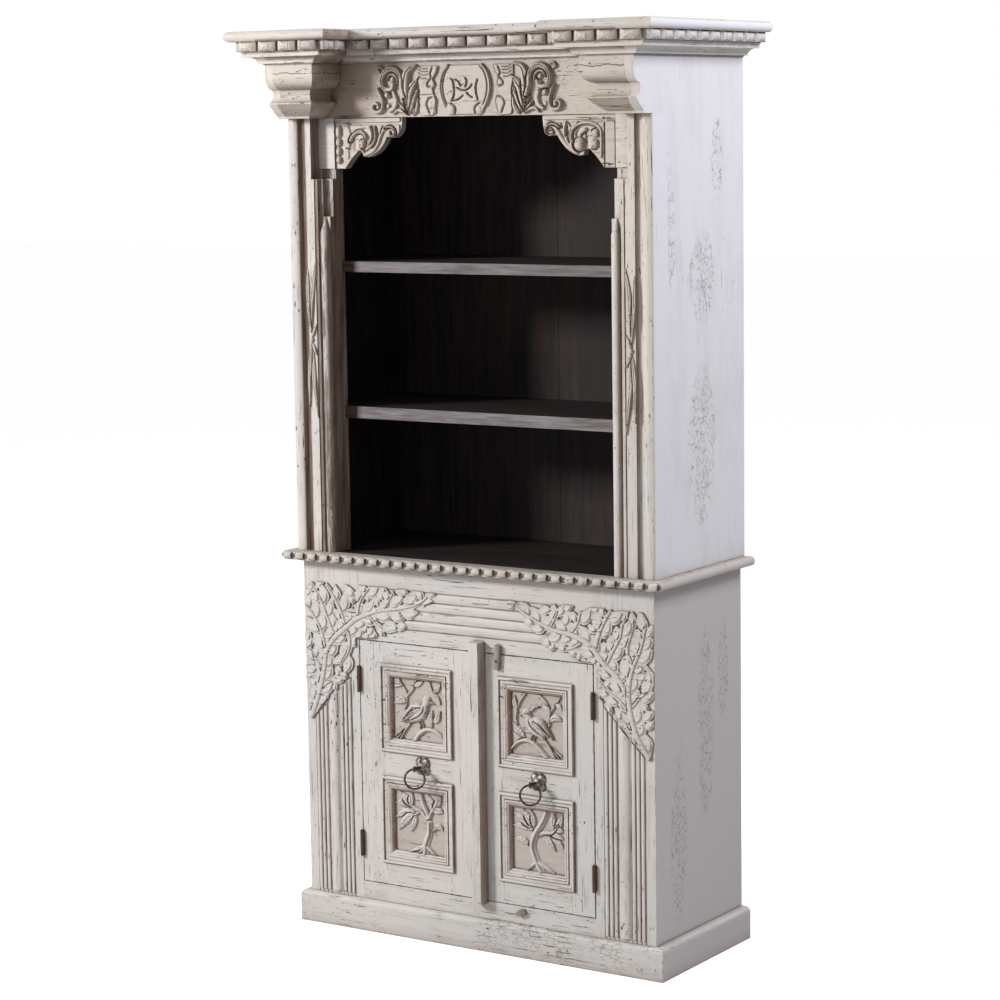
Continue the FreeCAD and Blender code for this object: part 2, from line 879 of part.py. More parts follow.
def dentil(length, proud):
    """One dentil: a pillow that swells across and up, with its flat back on the XZ plane at the origin."""
    half = length / 2
    rise = dentil_height / 2
    rim = proud * dentil_rim_share
    plan = face_of([line(V(half, 0, -rise), V(-half, 0, -rise)),
                    line(V(-half, 0, -rise), V(-half, -rim, -rise)),
                    arc(V(-half, -rim, -rise), V(0, -proud, -rise), V(half, -rim, -rise)),
                    line(V(half, -rim, -rise), V(half, 0, -rise))]).extrude(V(0, 0, dentil_height))
    section = face_of([line(V(-half, 0, -rise), V(-half, 0, rise)),
                       line(V(-half, 0, rise), V(-half, -proud * dentil_lip_share, rise)),
                       arc(V(-half, -proud * dentil_lip_share, rise), V(-half, -proud, 0),
                           V(-half, -proud * dentil_lip_share, -rise)),
                       line(V(-half, -proud * dentil_lip_share, -rise), V(-half, 0, -rise))])
    return plan.common(section.extrude(V(length, 0, 0)))


def dentil_row(count, start, length, proud, gap, place):
    """A run of dentils; place turns and moves each one from the origin to its distance along the run."""
    pitch = length / count
    row = []
    for i in range(count):
        block = dentil(pitch - gap, proud)
        place(block, start + (i + 1 / 2) * pitch)
        row.append(block)
    return row


def front_row(count, x0, x1, face, overhang):
    y = back_y - bed_backing(face, overhang)
    proud = (dentil_reach_share - bed_shares["backing_top"][0]) * overhang

    def place(block, x):
        block.translate(V(x, y, dentil_level))

    return dentil_row(count, x0, x1 - x0, proud, dentil_gap, place)


def side_row(count, d0, d1, x, sense):
    """Dentils on a face that looks along +X (sense 1) or -X (sense -1), between two depths."""
    proud = (dentil_reach_share - bed_shares["backing_top"][0]) * cornice_side_overhang

    def place(block, depth):
        block.rotate(V(0, 0, 0), V(0, 0, 1), 90 * sense)
        block.translate(V(x, back_y - depth, dentil_level))

    return dentil_row(count, d0, d1 - d0, proud, side_dentil_gap, place)


def front_dentils():
    """The dentils that look to the front, over the centre and over both ends."""
    side_face = bed_backing(half_case, cornice_side_overhang)
    inner_face = bed_backing(corbel_inner, -cornice_side_overhang)
    row = front_row(cap_dentil_count, inner_face, side_face, corbel_depth, cornice_front_overhang)
    reach = corbel_inner - dentil_reach_share * cornice_side_overhang
    center = front_row(center_dentil_count, -reach, reach, frieze_depth, center_overhang)
    return group([mirrored(block) for block in row] + center + row)


def side_dentils():
    """The dentils along both sides and on the two short returns beside the centre."""
    front_face = bed_backing(corbel_depth, cornice_front_overhang)
    center_face = frieze_depth + dentil_reach_share * center_overhang
    outer = side_row(side_dentil_count, 0, front_face, bed_backing(half_case, cornice_side_overhang), 1)
    inner = side_row(return_dentil_count, center_face, front_face,
                     bed_backing(corbel_inner, -cornice_side_overhang), -1)
    row = outer + inner
    return group([mirrored(block) for block in row] + row)


def rounded_board(x0, x1, depth, z0, z1):
    """A board with half-round edges at the front and at both ends."""
    r = (z1 - z0) / 2

    def ends(p):
        return [line(p(x0 + r, z0), p(x1 - r, z0)), arc(p(x1 - r, z0), p(x1, z0 + r), p(x1 - r, z1)),
                line(p(x1 - r, z1), p(x0 + r, z1)), arc(p(x0 + r, z1), p(x0, z0 + r), p(x0 + r, z0))]

    def front(p):
        return [line(p(0, z0), p(depth - r, z0)), arc(p(depth - r, z0), p(depth, z0 + r), p(depth - r, z1)),
                line(p(depth - r, z1), p(0, z1)), line(p(0, z1), p(0, z0))]

    return along_depth(ends, 0, depth).common(along_x(front, x0, x1))


def cornice_top():
    """The cornice board, which steps forward over both ends of the front."""
    inner = corbel_inner - cornice_side_overhang
    outer = cornice_width / 2
    r = cornice_board / 2
    end = rounded_board(inner, outer, cornice_depth, bed_top, height)
    middle_depth = frieze_depth + center_overhang

    def front(p):
        return [line(p(0, bed_top), p(middle_depth - r, bed_top)),
                arc(p(middle_depth - r, bed_top), p(middle_depth, bed_top + r), p(middle_depth - r, height)),
                line(p(middle_depth - r, height), p(0, height)), line(p(0, height), p(0, bed_top))]

    middle = along_x(front, -corbel_inner, corbel_inner)
    return joined([mirrored(end), middle, end])


# Doors. Each is a frame of stiles and rails round two sunk panels.

def panel_frame_x(side):
    """The inner and outer x of the moulded frames of a door, as distances from the middle."""
    hinge_margin = left_hinge_margin if side < 0 else right_hinge_margin
    meeting_margin = left_meeting_margin if side < 0 else right_meeting_margin
    return meeting_gap / 2 + meeting_margin, opening_half - hinge_gap - hinge_margin


def panel_frame_z():
    low = door_bottom + panel_bottom_margin
    high = door_top - panel_top_margin
    frame_height = (high - low - panel_middle_margin) / 2
    return [(low, low + frame_height), (high - frame_height, high)]


def at_side(side, shape):
    """A shape made for the right, moved to its own side."""
    return shape if side > 0 else mirrored(shape)


def door_panels(side):
    """The two field panels, with their edges in the grooves of the frame."""
    x0, x1 = panel_frame_x(side)
    reach = moulding_lap_width - panel_groove
    front = door_front - panel_sink
    panels = []
    for z0, z1 in panel_frame_z():
        panel = box(x0 + reach, x1 - reach, front - panel_board, front, z0 + reach, z1 - reach)
        panels.append(at_side(side, panel))
    return group(panels)


def panel_slots(side):
    """The grooves for both panels, a little larger than the panels all round."""
    x0, x1 = panel_frame_x(side)
    c = panel_clearance
    reach = moulding_lap_width - panel_groove - c
    front = door_front - panel_sink
    return [box(x0 + reach, x1 - reach, front - panel_board - c, front + c, z0 + reach, z1 - reach)
            for z0, z1 in panel_frame_z()]


def rail_heights():
    """The lower and upper edges of the three rails of a door."""
    (z0, z1), (z2, z3) = panel_frame_z()
    lap = moulding_lap_width
    return [(door_bottom, z0 + lap), (z1 - lap, z2 + lap), (z3 - lap, door_top)]


def door_rails(side):
    x0, x1 = panel_frame_x(side)
    x0 += moulding_lap_width
    x1 -= moulding_lap_width
    back = door_front - door_board
    d0 = back + (door_board - door_tenon_board) / 2
    rails = []
    for z0, z1 in rail_heights():
        rail = box(x0, x1, back, door_front, z0, z1)
        for slot in panel_slots(side):
            rail = rail.cut(slot)
        tenon = box(x0 - door_tenon, x1 + door_tenon, d0, d0 + door_tenon_board,
                    z0 + door_tenon_shoulder, z1 - door_tenon_shoulder)
        for slot in panel_slots(side):
            tenon = tenon.cut(slot)
        rails.append(at_side(side, joined([rail, tenon])))
    return group(rails)


def door_stiles(side):
    """The hinge stile and the meeting stile, with mortises and panel grooves."""
    x0, x1 = panel_frame_x(side)
    back = door_front - door_board
    meeting = box(meeting_gap / 2, x0 + moulding_lap_width, back, door_front, door_bottom, door_top)
    hinge = box(x1 - moulding_lap_width, opening_half - hinge_gap, back, door_front, door_bottom, door_top)
    stiles = []
    for stile in (meeting, hinge):
        for slot in panel_slots(side):
            stile = stile.cut(slot)
        stiles.append(at_side(side, stile))
    cut = [stile.cut(door_rails(side)) for stile in stiles]
    return group([max(stile.Solids, key=lambda solid: solid.Volume) for stile in cut])


def moulding_outline(p, edge, inward):
    """A panel moulding across its width: an outer bead, a flat and a slope down to the sunk panel."""
    at = {}
    for name, (width_share, rise_share) in moulding_shares.items():
        rise = rise_share * (moulding_proud if rise_share > 0 else panel_sink)
        at[name] = p(edge + inward * width_share * moulding_width, door_front + rise)
    return [line(at["outer"], at["outer_top"]),
            arc(at["outer_top"], at["bead"], at["bead_end"]),
            line(at["bead_end"], at["flat_start"]),
            line(at["flat_start"], at["flat_end"]),
            line(at["flat_end"], at["slope_start"]),
            arc(at["slope_start"], at["slope"], at["slope_end"]),
            line(at["slope_end"], at["inner"])]


def moulding_frame(side, z0, z1):
    """Four mitred strips round one panel."""
    x0, x1 = panel_frame_x(side)
    face = door_front
    low = face - panel_sink
    lap = moulding_lap_width

    def strip_outline(start, inward):
        def outline(p):
            edge_points = moulding_outline(p, start, inward)
            inner = p(start + inward * moulding_width, low)
            rebate = p(start + inward * lap, low)
            rebate_top = p(start + inward * lap, face)
            return edge_points + [line(inner, rebate), line(rebate, rebate_top),
                                  line(rebate_top, p(start, face))]
        return outline

    def upright(start, inward):
        outline = face_of(strip_outline(start, inward)(lambda x, d: V(x, back_y - d, z0)))
        return outline.extrude(V(0, 0, z1 - z0))

    def level(start, inward):
        outline = face_of(strip_outline(start, inward)(lambda z, d: V(x0, back_y - d, z)))
        return outline.extrude(V(x1 - x0, 0, 0))

    w = moulding_width
    front = face + overrun
    back = low - overrun

    def wedge(corners):
        outline = polygon([V(x, back_y - back, z) for x, z in corners])
        return outline.extrude(V(0, back - front, 0))

    return [upright(x0, 1).common(wedge([(x0, z0), (x0, z1), (x0 + w, z1 - w), (x0 + w, z0 + w)])),
            upright(x1, -1).common(wedge([(x1, z0), (x1, z1), (x1 - w, z1 - w), (x1 - w, z0 + w)])),
            level(z0, 1).common(wedge([(x0, z0), (x1, z0), (x1 - w, z0 + w), (x0 + w, z0 + w)])),
            level(z1, -1).common(wedge([(x0, z1), (x1, z1), (x1 - w, z1 - w), (x0 + w, z1 - w)]))]


def door_mouldings(side):
    strips = []
    for z0, z1 in panel_frame_z():
        strips += [at_side(side, strip) for strip in moulding_frame(side, z0, z1)]
    return group(strips)


def batten():
    """The upright batten on the right door's meeting edge, with its two front edges chamfered."""
    x0 = meeting_gap / 2
    x1 = x0 + batten_width
    face = door_front
    front = face + batten_proud
    c = batten_chamfer
    z0 = opening_bottom - batten_bottom_lap_length
    z1 = opening_top + batten_top_lap_length
    outline = [(x0, face), (x1, face), (x1, front - c), (x1 - c, front), (x0 + c, front), (x0, front - c)]
    return plan_prism(outline, z0, z1)


# Hinges

def hinge_heights():
    """The lower edges of the two hinges of a door."""
    return [door_bottom + hinge_low_margin, door_top - hinge_edge_margin - hinge_height]


def knuckle(z0, z1):
    """A barrel with the bore for the pin, on the right hinge line."""
    x = opening_half - hinge_gap / 2
    at = V(x, back_y - pin_depth, z0)
    barrel = Part.makeCylinder(knuckle_radius, z1 - z0, at)
    return barrel.cut(Part.makeCylinder(hinge_pin_radius + hinge_pin_clearance, z1 - z0, at))


def leaf_plate(x0, x1, z0, z1):
    """A hinge leaf in the gap, which runs forward into its knuckles."""
    plate = box(x0, x1, pin_depth - hinge_leaf_width, pin_depth, z0, z1)
    x = opening_half - hinge_gap / 2
    bore = Part.makeCylinder(hinge_pin_radius + hinge_pin_clearance, z1 - z0, V(x, back_y - pin_depth, z0))
    return plate.cut(bore)


def frame_hinge_leaf(z):
    """The leaf on the frame's stile, with the two outer knuckles."""
    third = hinge_height / 3
    x1 = opening_half
    x0 = x1 - hinge_leaf
    plate = leaf_plate(x0, x1, z, z + hinge_height)
    room = box(x0 - overrun, x1, pin_depth - knuckle_radius - knuckle_gap, pin_depth + knuckle_radius,
               z + third - knuckle_gap / 2, z + 2 * third + knuckle_gap / 2)
    low = knuckle(z, z + third - knuckle_gap / 2)
    high = knuckle(z + 2 * third + knuckle_gap / 2, z + hinge_height)
    return joined([plate.cut(room), low, high])


def door_hinge_leaf(z):
    """The leaf on the door's edge, with the middle knuckle."""
    third = hinge_height / 3
    x0 = opening_half - hinge_gap
    x1 = x0 + hinge_leaf
    middle_low = z + third + knuckle_gap / 2
    middle_high = z + 2 * third - knuckle_gap / 2
    plate = leaf_plate(x0, x1, z, z + hinge_height)
    d0 = pin_depth - knuckle_radius - knuckle_gap
    d1 = pin_depth + knuckle_radius
    low_room = box(x0, x1 + overrun, d0, d1, z, middle_low)
    high_room = box(x0, x1 + overrun, d0, d1, middle_high, z + hinge_height)
    return joined([plate.cut(low_room).cut(high_room), knuckle(middle_low, middle_high)])


def hinge_pin(z):
    x = opening_half - hinge_gap / 2
    y = back_y - pin_depth
    pin = Part.makeCylinder(hinge_pin_radius, hinge_height, V(x, y, z))
    head = Part.makeCylinder(knuckle_radius * pin_head_share, hinge_pin_head, V(x, y, z + hinge_height))
    return joined([pin, head])


def frame_hinge_leaves():
    right = [frame_hinge_leaf(z) for z in hinge_heights()]
    return group([mirrored(leaf) for leaf in right] + right)


def hinge_pins():
    right = [hinge_pin(z) for z in hinge_heights()]
    return group([mirrored(pin) for pin in right] + right)


def door_hinge_leaves(side):
    return group([at_side(side, door_hinge_leaf(z)) for z in hinge_heights()])


# Ring pulls

def pull_place(side):
    inset = door_width * (left_pull_share if side < 0 else right_pull_share)
    z = door_bottom + pull_height_share * (door_top - door_bottom)
    return V(side * (opening_half - hinge_gap - inset), back_y - door_front, z)


def eye_center(side):
    return pull_place(side) + V(0, -post_length, 0)


def eye_axis():
    """The hole of the eye lies level, turned a little towards the right."""
    angle = math.radians(eye_turn_degrees)
    return V(math.cos(angle), math.sin(angle), 0)


def cap_of_sphere(radius, rise, center):
    """A dome of a given foot radius and height that stands out to the front from a point of the face."""
    ball_radius = (radius ** 2 + rise ** 2) / (2 * rise)
    ball = Part.makeSphere(ball_radius, center + V(0, ball_radius - rise, 0))
    reach = 2 * radius
    front = Part.makeBox(2 * reach, reach, 2 * reach, center + V(-reach, -reach, -reach))
    return ball.common(front)


def pull_boss(side):
    """A domed boss with four petals and the post that carries the eye."""
    center = pull_place(side)
    domes = [cap_of_sphere(boss_radius, boss_height, center)]
    for i in range(lobe_count):
        angle = 2 * math.pi * (i + 1 / 2) / lobe_count
        offset = V(lobe_circle_radius * math.cos(angle), 0, lobe_circle_radius * math.sin(angle))
        domes.append(cap_of_sphere(lobe_radius, lobe_height, center + offset))
    return joined(domes)


def pull_eye(side):
    """A post from the boss that ends in an eye for the ring."""
    start = pull_place(side) + V(0, -boss_height * post_seat_share, 0)
    center = eye_center(side)
    axis = eye_axis()
    length = post_length - boss_height * post_seat_share - eye_hole_radius - post_wall_share * eye_radius
    post = Part.makeCylinder(post_radius, length, start, V(0, -1, 0))
    disc_start = center - axis * (eye_thickness / 2)
    disc = Part.makeCylinder(eye_radius, eye_thickness, disc_start, axis)
    hole = Part.makeCylinder(eye_hole_radius, 2 * eye_thickness, center - axis * eye_thickness, axis)
    return joined([post.cut(pull_boss(side)), disc]).cut(hole)


def pull_ring(side):
    """A plain ring that hangs in the eye, in the upright plane of the eye's axis."""
    top = eye_center(side)
    axis = eye_axis()
    normal = V(axis.y, -axis.x, 0)
    return Part.makeTorus(ring_radius, ring_wire_radius, top - V(0, 0, ring_radius), normal)


# Turn button

def button_pivot():
    x = meeting_gap / 2 + batten_width + button_side_margin
    return V(x, back_y - door_front, door_top - button_top_margin)


def turn_button():
    """A narrow wooden button on its nail, nearly upright, whose upper arm laps over the top rail."""
    pivot = button_pivot()
    half = button_width / 2
    y = pivot.y - button_clearance - button_board
    low = pivot.z - button_lower_arm
    slab = Part.makeBox(button_width, button_board, button_length, V(pivot.x - half, y, low))
    hole = Part.makeCylinder(nail_radius + nail_clearance, button_board, V(pivot.x, y, pivot.z), V(0, 1, 0))
    button = slab.cut(hole)
    button.rotate(pivot, V(0, 1, 0), button_tilt_degrees)
    return button


def turn_button_nail():
    """The nail through the button, driven into the right door's top rail."""
    pivot = button_pivot()
    head_start = pivot + V(0, -2 * button_clearance - button_board, 0)
    head = Part.makeCylinder(nail_head_radius, nail_head_board, head_start, V(0, -1, 0))
    shank = Part.makeCylinder(nail_radius, nail_length, head_start, V(0, 1, 0))
    return joined([head, shank])


def nailed(boards):
    """Boards of the right door with the hole for the turn button's nail."""
    nail = turn_button_nail()
    return group([board.cut(nail) for board in boards.Solids])


def right_door_stiles():
    return nailed(door_stiles(1))


def right_door_rails():
    return nailed(door_rails(1))


def left_door_stiles():
    return door_stiles(-1)


def left_door_rails():
    return door_rails(-1)


right_and_left = {
    "plinth_side": plinth_side,
    "lower_side": lower_side,
    "frame_stile": frame_stile,
    "upper_side": upper_side,
    "jamb": jamb,
    "half_column": half_column,
    "bracket": bracket,
    "corbel": corbel,
    "cornice_cap": cornice_cap,
    "cornice_side": cornice_side,
}
single = {
    "plinth_front": plinth_front,
    "plinth_back": plinth_back,
    "lower_floor": lower_floor,
    "lower_back_planks": lower_back_planks,
    "lower_shelf": lower_shelf,
    "frame_top_rail": frame_top_rail,
    "frame_bottom_rail": frame_bottom_rail,
    "bottom_peg": bottom_peg,
    "waist_board": waist,
    "waist_bobbins": waist_bobbins,
    "upper_back_planks": upper_back_planks,
    "frieze_board": frieze,
    "upper_shelf": upper_shelf,
    "middle_shelf": middle_shelf,
    "shelf_cleats": shelf_cleats,
    "cornice_center": cornice_center,
    "cornice_top": cornice_top,
    "front_dentils": front_dentils,
    "side_dentils": side_dentils,
    "frame_hinge_leaves": frame_hinge_leaves,
    "hinge_pins": hinge_pins,
    "left_door_stiles": left_door_stiles,
    "left_door_rails": left_door_rails,
    "right_door_stiles": right_door_stiles,
    "right_door_rails": right_door_rails,
    "meeting_batten": batten,
    "turn_button": turn_button,
    "turn_button_nail": turn_button_nail,
}
on_both_doors = {
    "door_panels": door_panels,
    "door_mouldings": door_mouldings,
    "hinge_leaves": door_hinge_leaves,
    "pull_boss": pull_boss,
    "pull_eye": pull_eye,
    "pull_ring": pull_ring,
}

nodes = {name: make() for name, make in single.items()}
for name, make in right_and_left.items():
    nodes[name + "_right"] = make()
    nodes[name + "_left"] = mirrored(make())
for name, make in on_both_doors.items():
    nodes["left_" + name] = make(-1)
    nodes["right_" + name] = make(1)

for name, shape in sorted(nodes.items()):
    print(name, len(shape.Solids), round(shape.Volume), shape.isValid())
    shape.exportStep("parts/" + name + ".step")
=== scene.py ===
import math

import bpy
import numpy as np
from mathutils import Matrix, Vector


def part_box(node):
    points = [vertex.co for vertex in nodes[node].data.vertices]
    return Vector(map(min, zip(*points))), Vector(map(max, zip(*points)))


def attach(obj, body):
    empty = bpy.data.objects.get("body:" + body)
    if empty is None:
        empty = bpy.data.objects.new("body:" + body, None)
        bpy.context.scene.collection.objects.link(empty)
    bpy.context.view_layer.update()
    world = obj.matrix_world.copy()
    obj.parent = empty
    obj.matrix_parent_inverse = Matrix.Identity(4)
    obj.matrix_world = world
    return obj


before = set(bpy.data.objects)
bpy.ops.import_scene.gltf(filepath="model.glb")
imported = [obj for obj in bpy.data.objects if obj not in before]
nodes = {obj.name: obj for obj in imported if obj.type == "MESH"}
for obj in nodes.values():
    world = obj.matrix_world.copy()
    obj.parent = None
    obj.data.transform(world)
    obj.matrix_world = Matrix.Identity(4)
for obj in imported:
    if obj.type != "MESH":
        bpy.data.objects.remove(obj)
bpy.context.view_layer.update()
rng = np.random.default_rng(7)

MM = 0.001

# Faces that carry the carving: how far each lies forward of the origin, in millimetres
frieze_face = -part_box("frieze_board")[0][1] / MM
bracket_face = 99.5
cabinet_face = -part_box("frame_top_rail")[0][1] / MM
panel_face = 119.0
jamb_face = 134.5

# Heights over the face, in millimetres: where nothing is carved, the flat back and the least raised form
SUNK = -1.0
BACK = -2.0
RAISED = 0.4

# The gap cut round a form that lies on its neighbours, in millimetres
TRENCH = 0.8

# Steps of the carved grids, in millimetres
frieze_step = 1.05
bracket_step = 0.85
tree_step = 1.09
panel_step = 0.8
jamb_step = 0.9

# Fields of the door panels: their middles and half their size, in millimetres
field_xs = {"left": -162.9, "right": 169.9}
field_zs = {"lower": 279, "upper": 550}
field_half = (69.5, 72.5)


def smooth(points, pieces=7):
    """A curve through the points, as many short chords."""
    given = np.array(points, float)
    if len(given) == 2:
        shares = np.linspace(0, 1, pieces + 1)[:, None]
        return given[0] + (given[1] - given[0]) * shares
    held = np.vstack([2 * given[0] - given[1], given, 2 * given[-1] - given[-2]])
    curve = []
    for before, start, end, after in zip(held, held[1:], held[2:], held[3:]):
        for share in np.linspace(0, 1, pieces, endpoint=False):
            line = (end - before) * share
            bend = (2 * before - 5 * start + 4 * end - after) * share ** 2
            turn = (3 * start - before - 3 * end + after) * share ** 3
            curve.append(start + (line + bend + turn) / 2)
    curve.append(given[-1])
    return np.array(curve)


def arc(centre, radius, start, end, count=7):
    """Points of an arc from one angle to another, in degrees from the +X direction."""
    angles = np.radians(np.linspace(start, end, count))
    return [(centre[0] + radius * math.cos(angle), centre[1] + radius * math.sin(angle)) for angle in angles]


class Relief:
    """Carving on a flat face, as heights in millimetres over a grid of x and z.

    What is drawn lies round its middle, and side -1 mirrors it.
    """

    def __init__(self, low, high, step, middle=(0, 0), side=1):
        self.xs = np.arange(low[0], high[0] + step / 2, step)
        self.zs = np.arange(low[1], high[1] + step / 2, step)
        self.x, self.z = np.meshgrid(self.xs, self.zs)
        self.height = np.full(self.x.shape, SUNK)
        self.middle = middle
        self.side = side

    def at(self, points):
        """Points of the drawing at their place on the grid."""
        return np.array([(self.middle[0] + self.side * x, self.middle[1] + z) for x, z in points], float)

    def area(self, points, reach):
        """The rows and columns of the grid within reach of the points."""
        low = np.min(points, 0) - reach
        high = np.max(points, 0) + reach
        rows = slice(*np.searchsorted(self.zs, (low[1], high[1])))
        columns = slice(*np.searchsorted(self.xs, (low[0], high[0])))
        return rows, columns

    def along(self, path, reach):
        """Distance from a path and the share of its length, for the cells near it."""
        curve = smooth(self.at(path))
        place = self.area(curve, reach)
        x, z = self.x[place], self.z[place]
        runs = np.diff(curve, axis=0)
        lengths = np.hypot(*runs.T)
        starts = np.concatenate([[0], np.cumsum(lengths)])
        distance = np.full(x.shape, np.inf)
        share = np.zeros(x.shape)
        for (ax, az), (dx, dz), length, start in zip(curve, runs, lengths, starts):
            reached = np.clip(((x - ax) * dx + (z - az) * dz) / length ** 2, 0, 1)
            off = np.hypot(x - ax - reached * dx, z - az - reached * dz)
            nearer = off < distance
            distance = np.where(nearer, off, distance)
            share = np.where(nearer, (start + reached * length) / starts[-1], share)
        return place, distance, share

    def lean(self, path, place, width):
        """How far the cells lie to the lower right of a leaf's middle, from -1 to 1."""
        middle = np.mean(self.at(path), 0)
        off = 0.75 * (self.x[place] - middle[0]) - 0.66 * (self.z[place] - middle[1])
        return np.clip(off / (width / 2), -1, 1)

    def lay(self, place, rise, over=None):
        """Adds a raised form; over cuts a trench round it so that it lies on its neighbours."""
        below = self.height[place]
        if over is not None:
            below = np.where(over, SUNK, below)
        self.height[place] = np.maximum(below, np.maximum(rise, SUNK))

    def inside(self, outline):
        """The cells inside a closed outline."""
        path = np.vstack([outline, outline[:1]])
        found = np.zeros(self.x.shape, bool)
        for (ax, az), (bx, bz) in zip(path, path[1:]):
            crosses = (az > self.z) != (bz > self.z)
            at = ax + (self.z - az) * (bx - ax) / (bz - az if bz != az else np.inf)
            found ^= crosses & (self.x < at)
        return found

    def plate(self, outline, height):
        """A flat raised plate inside a closed outline."""
        within = self.inside(self.at(outline))
        self.height = np.where(within, np.maximum(self.height, height), self.height)

    def ground(self, limit, reach, level):
        """Fills the narrow gaps between the raised forms with a thin ground."""
        near = self.height > RAISED
        for _ in range(reach):
            grown = near.copy()
            grown[1:] |= near[:-1]
            grown[:-1] |= near[1:]
            grown[:, 1:] |= near[:, :-1]
            grown[:, :-1] |= near[:, 1:]
            near = grown
        self.height = np.where(near & limit, np.maximum(self.height, level), self.height)

    def strand(self, path, width, height, ends=(1, 1), flat=2.0, over=False, grooved=False):
        """A raised band along a path, rounded, or flatter for a larger flat."""
        place, distance, share = self.along(path, width)
        half = width / 2 * np.interp(share, (0, 0.5, 1), (ends[0], 1, ends[1]))
        across = distance / half
        rise = height * (1 - across ** flat)
        if grooved:
            rise -= height * 0.25 * (0.5 - 0.5 * np.cos(2 * np.pi * across)) * (across < 1)
        self.lay(place, rise, distance < half + TRENCH if over else None)

    def leaf(self, path, width, height, veins=5, over=True, blunt=0.8, tilt=0.0):
        """A pointed leaf with a centre vein and side veins, tilted up on its lower right."""
        place, distance, share = self.along(path, width)
        half = width / 2 * np.sin(np.pi * np.clip(share, 0.02, 0.98) ** blunt) ** 0.75 + 0.25
        across = distance / half
        rise = height * (0.72 + 0.28 * np.sin(np.pi * share)) * (1 - across ** 3.4)
        rise *= 1 + tilt * self.lean(path, place, width)
        rise -= height * 0.3 * np.exp(-(distance / 1.1) ** 2) * (share < 0.9)
        if veins:
            wave = np.cos(2 * np.pi * (share * veins - 0.3 * across))
            rise -= height * 0.13 * np.clip(wave, 0, 1) * (across < 0.9) * (across > 0.15)
        self.lay(place, rise, distance < half + TRENCH if over else None)

    def blade(self, path, width, height, tilt):
        """A flat leaf that rises to a steep edge on its lower right, with a shadow gap beyond it."""
        place, distance, share = self.along(path, width)
        half = width / 2 * np.sin(np.pi * np.clip(share, 0.02, 0.98) ** 0.75) ** 0.8 + 0.25
        lean = self.lean(path, place, width)
        rise = height * (1 + tilt * lean) * (1 - np.minimum(distance / half, 2) ** 7)
        rise -= 0.9 * np.exp(-(distance / 0.9) ** 2) * (share < 0.85)
        self.lay(place, rise, (distance < half) | ((distance < half + 1.5) & (lean > 0.15)))

    def dome(self, centre, radius, height, over=True):
        """A round raised boss."""
        middle = self.at([centre])
        place = self.area(middle, radius + 3)
        distance = np.hypot(self.x[place] - middle[0, 0], self.z[place] - middle[0, 1])
        rise = height * (1 - (distance / radius) ** 2.6)
        self.lay(place, rise, distance < radius + TRENCH if over else None)

    def cut(self, path, width, depth):
        """A gouged line, tapering at its ends."""
        place, distance, share = self.along(path, width)
        deep = depth * np.clip(8 * np.minimum(share, 1 - share) + 0.35, 0, 1)
        below = self.height[place]
        carved = below - deep * np.exp(-(distance / (width / 2)) ** 2)
        self.height[place] = np.where(below > SUNK, np.maximum(carved, SUNK), below)

    def build(self, name, face, body):
        """The piece itself: the carved face, a flat back inside the board and closed sides."""
        low, high = slice(None, -1), slice(1, None)
        raised = self.height > SUNK + 0.001
        used = raised[low, low] | raised[high, low] | raised[low, high] | raised[high, high]
        corner = np.zeros(raised.shape, bool)
        for rows in (low, high):
            for columns in (low, high):
                corner[rows, columns] |= used
        number = np.full(raised.shape, -1)
        count = int(corner.sum())
        number[corner] = np.arange(count)
        x = self.x[corner] * MM
        z = self.z[corner] * MM
        front = np.stack([x, (-face - self.height[corner]) * MM, z], 1)
        back = np.stack([x, np.full(count, (-face - BACK) * MM), z], 1)
        turns = ((low, low), (low, high), (high, high), (high, low))
        ring = np.stack([number[turn][used] for turn in turns], 1)
        faces = [ring, ring[:, ::-1] + count]
        pad = np.pad(used, 1)
        beyond = (pad[:-2, 1:-1], pad[1:-1, 2:], pad[2:, 1:-1], pad[1:-1, :-2])
        for filled, first, second in zip(beyond, turns, turns[1:] + turns[:1]):
            rim = used & ~filled
            start, end = number[first][rim], number[second][rim]
            faces.append(np.stack([end, start, start + count, end + count], 1))
        return add_piece(name, np.vstack([front, back]), np.vstack(faces), body)


def add_piece(name, points, faces, body):
    """A mesh object of four-sided faces that rides on a body."""
    mesh = bpy.data.meshes.new(name)
    mesh.vertices.add(len(points))
    mesh.vertices.foreach_set("co", points.astype(np.float32).ravel())
    mesh.loops.add(faces.size)
    mesh.loops.foreach_set("vertex_index", faces.astype(np.int32).ravel())
    mesh.polygons.add(len(faces))
    mesh.polygons.foreach_set("loop_start", np.arange(0, faces.size, 4, dtype=np.int32))
    mesh.update(calc_edges=True)
    mesh.validate()
    mesh.polygons.foreach_set("use_smooth", np.ones(len(faces), bool))
    mesh.set_sharp_from_angle(angle=math.radians(55))
    piece = bpy.data.objects.new(name, mesh)
    bpy.context.scene.collection.objects.link(piece)
    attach(piece, body)
    return piece


# Frieze

frieze_middle = -9


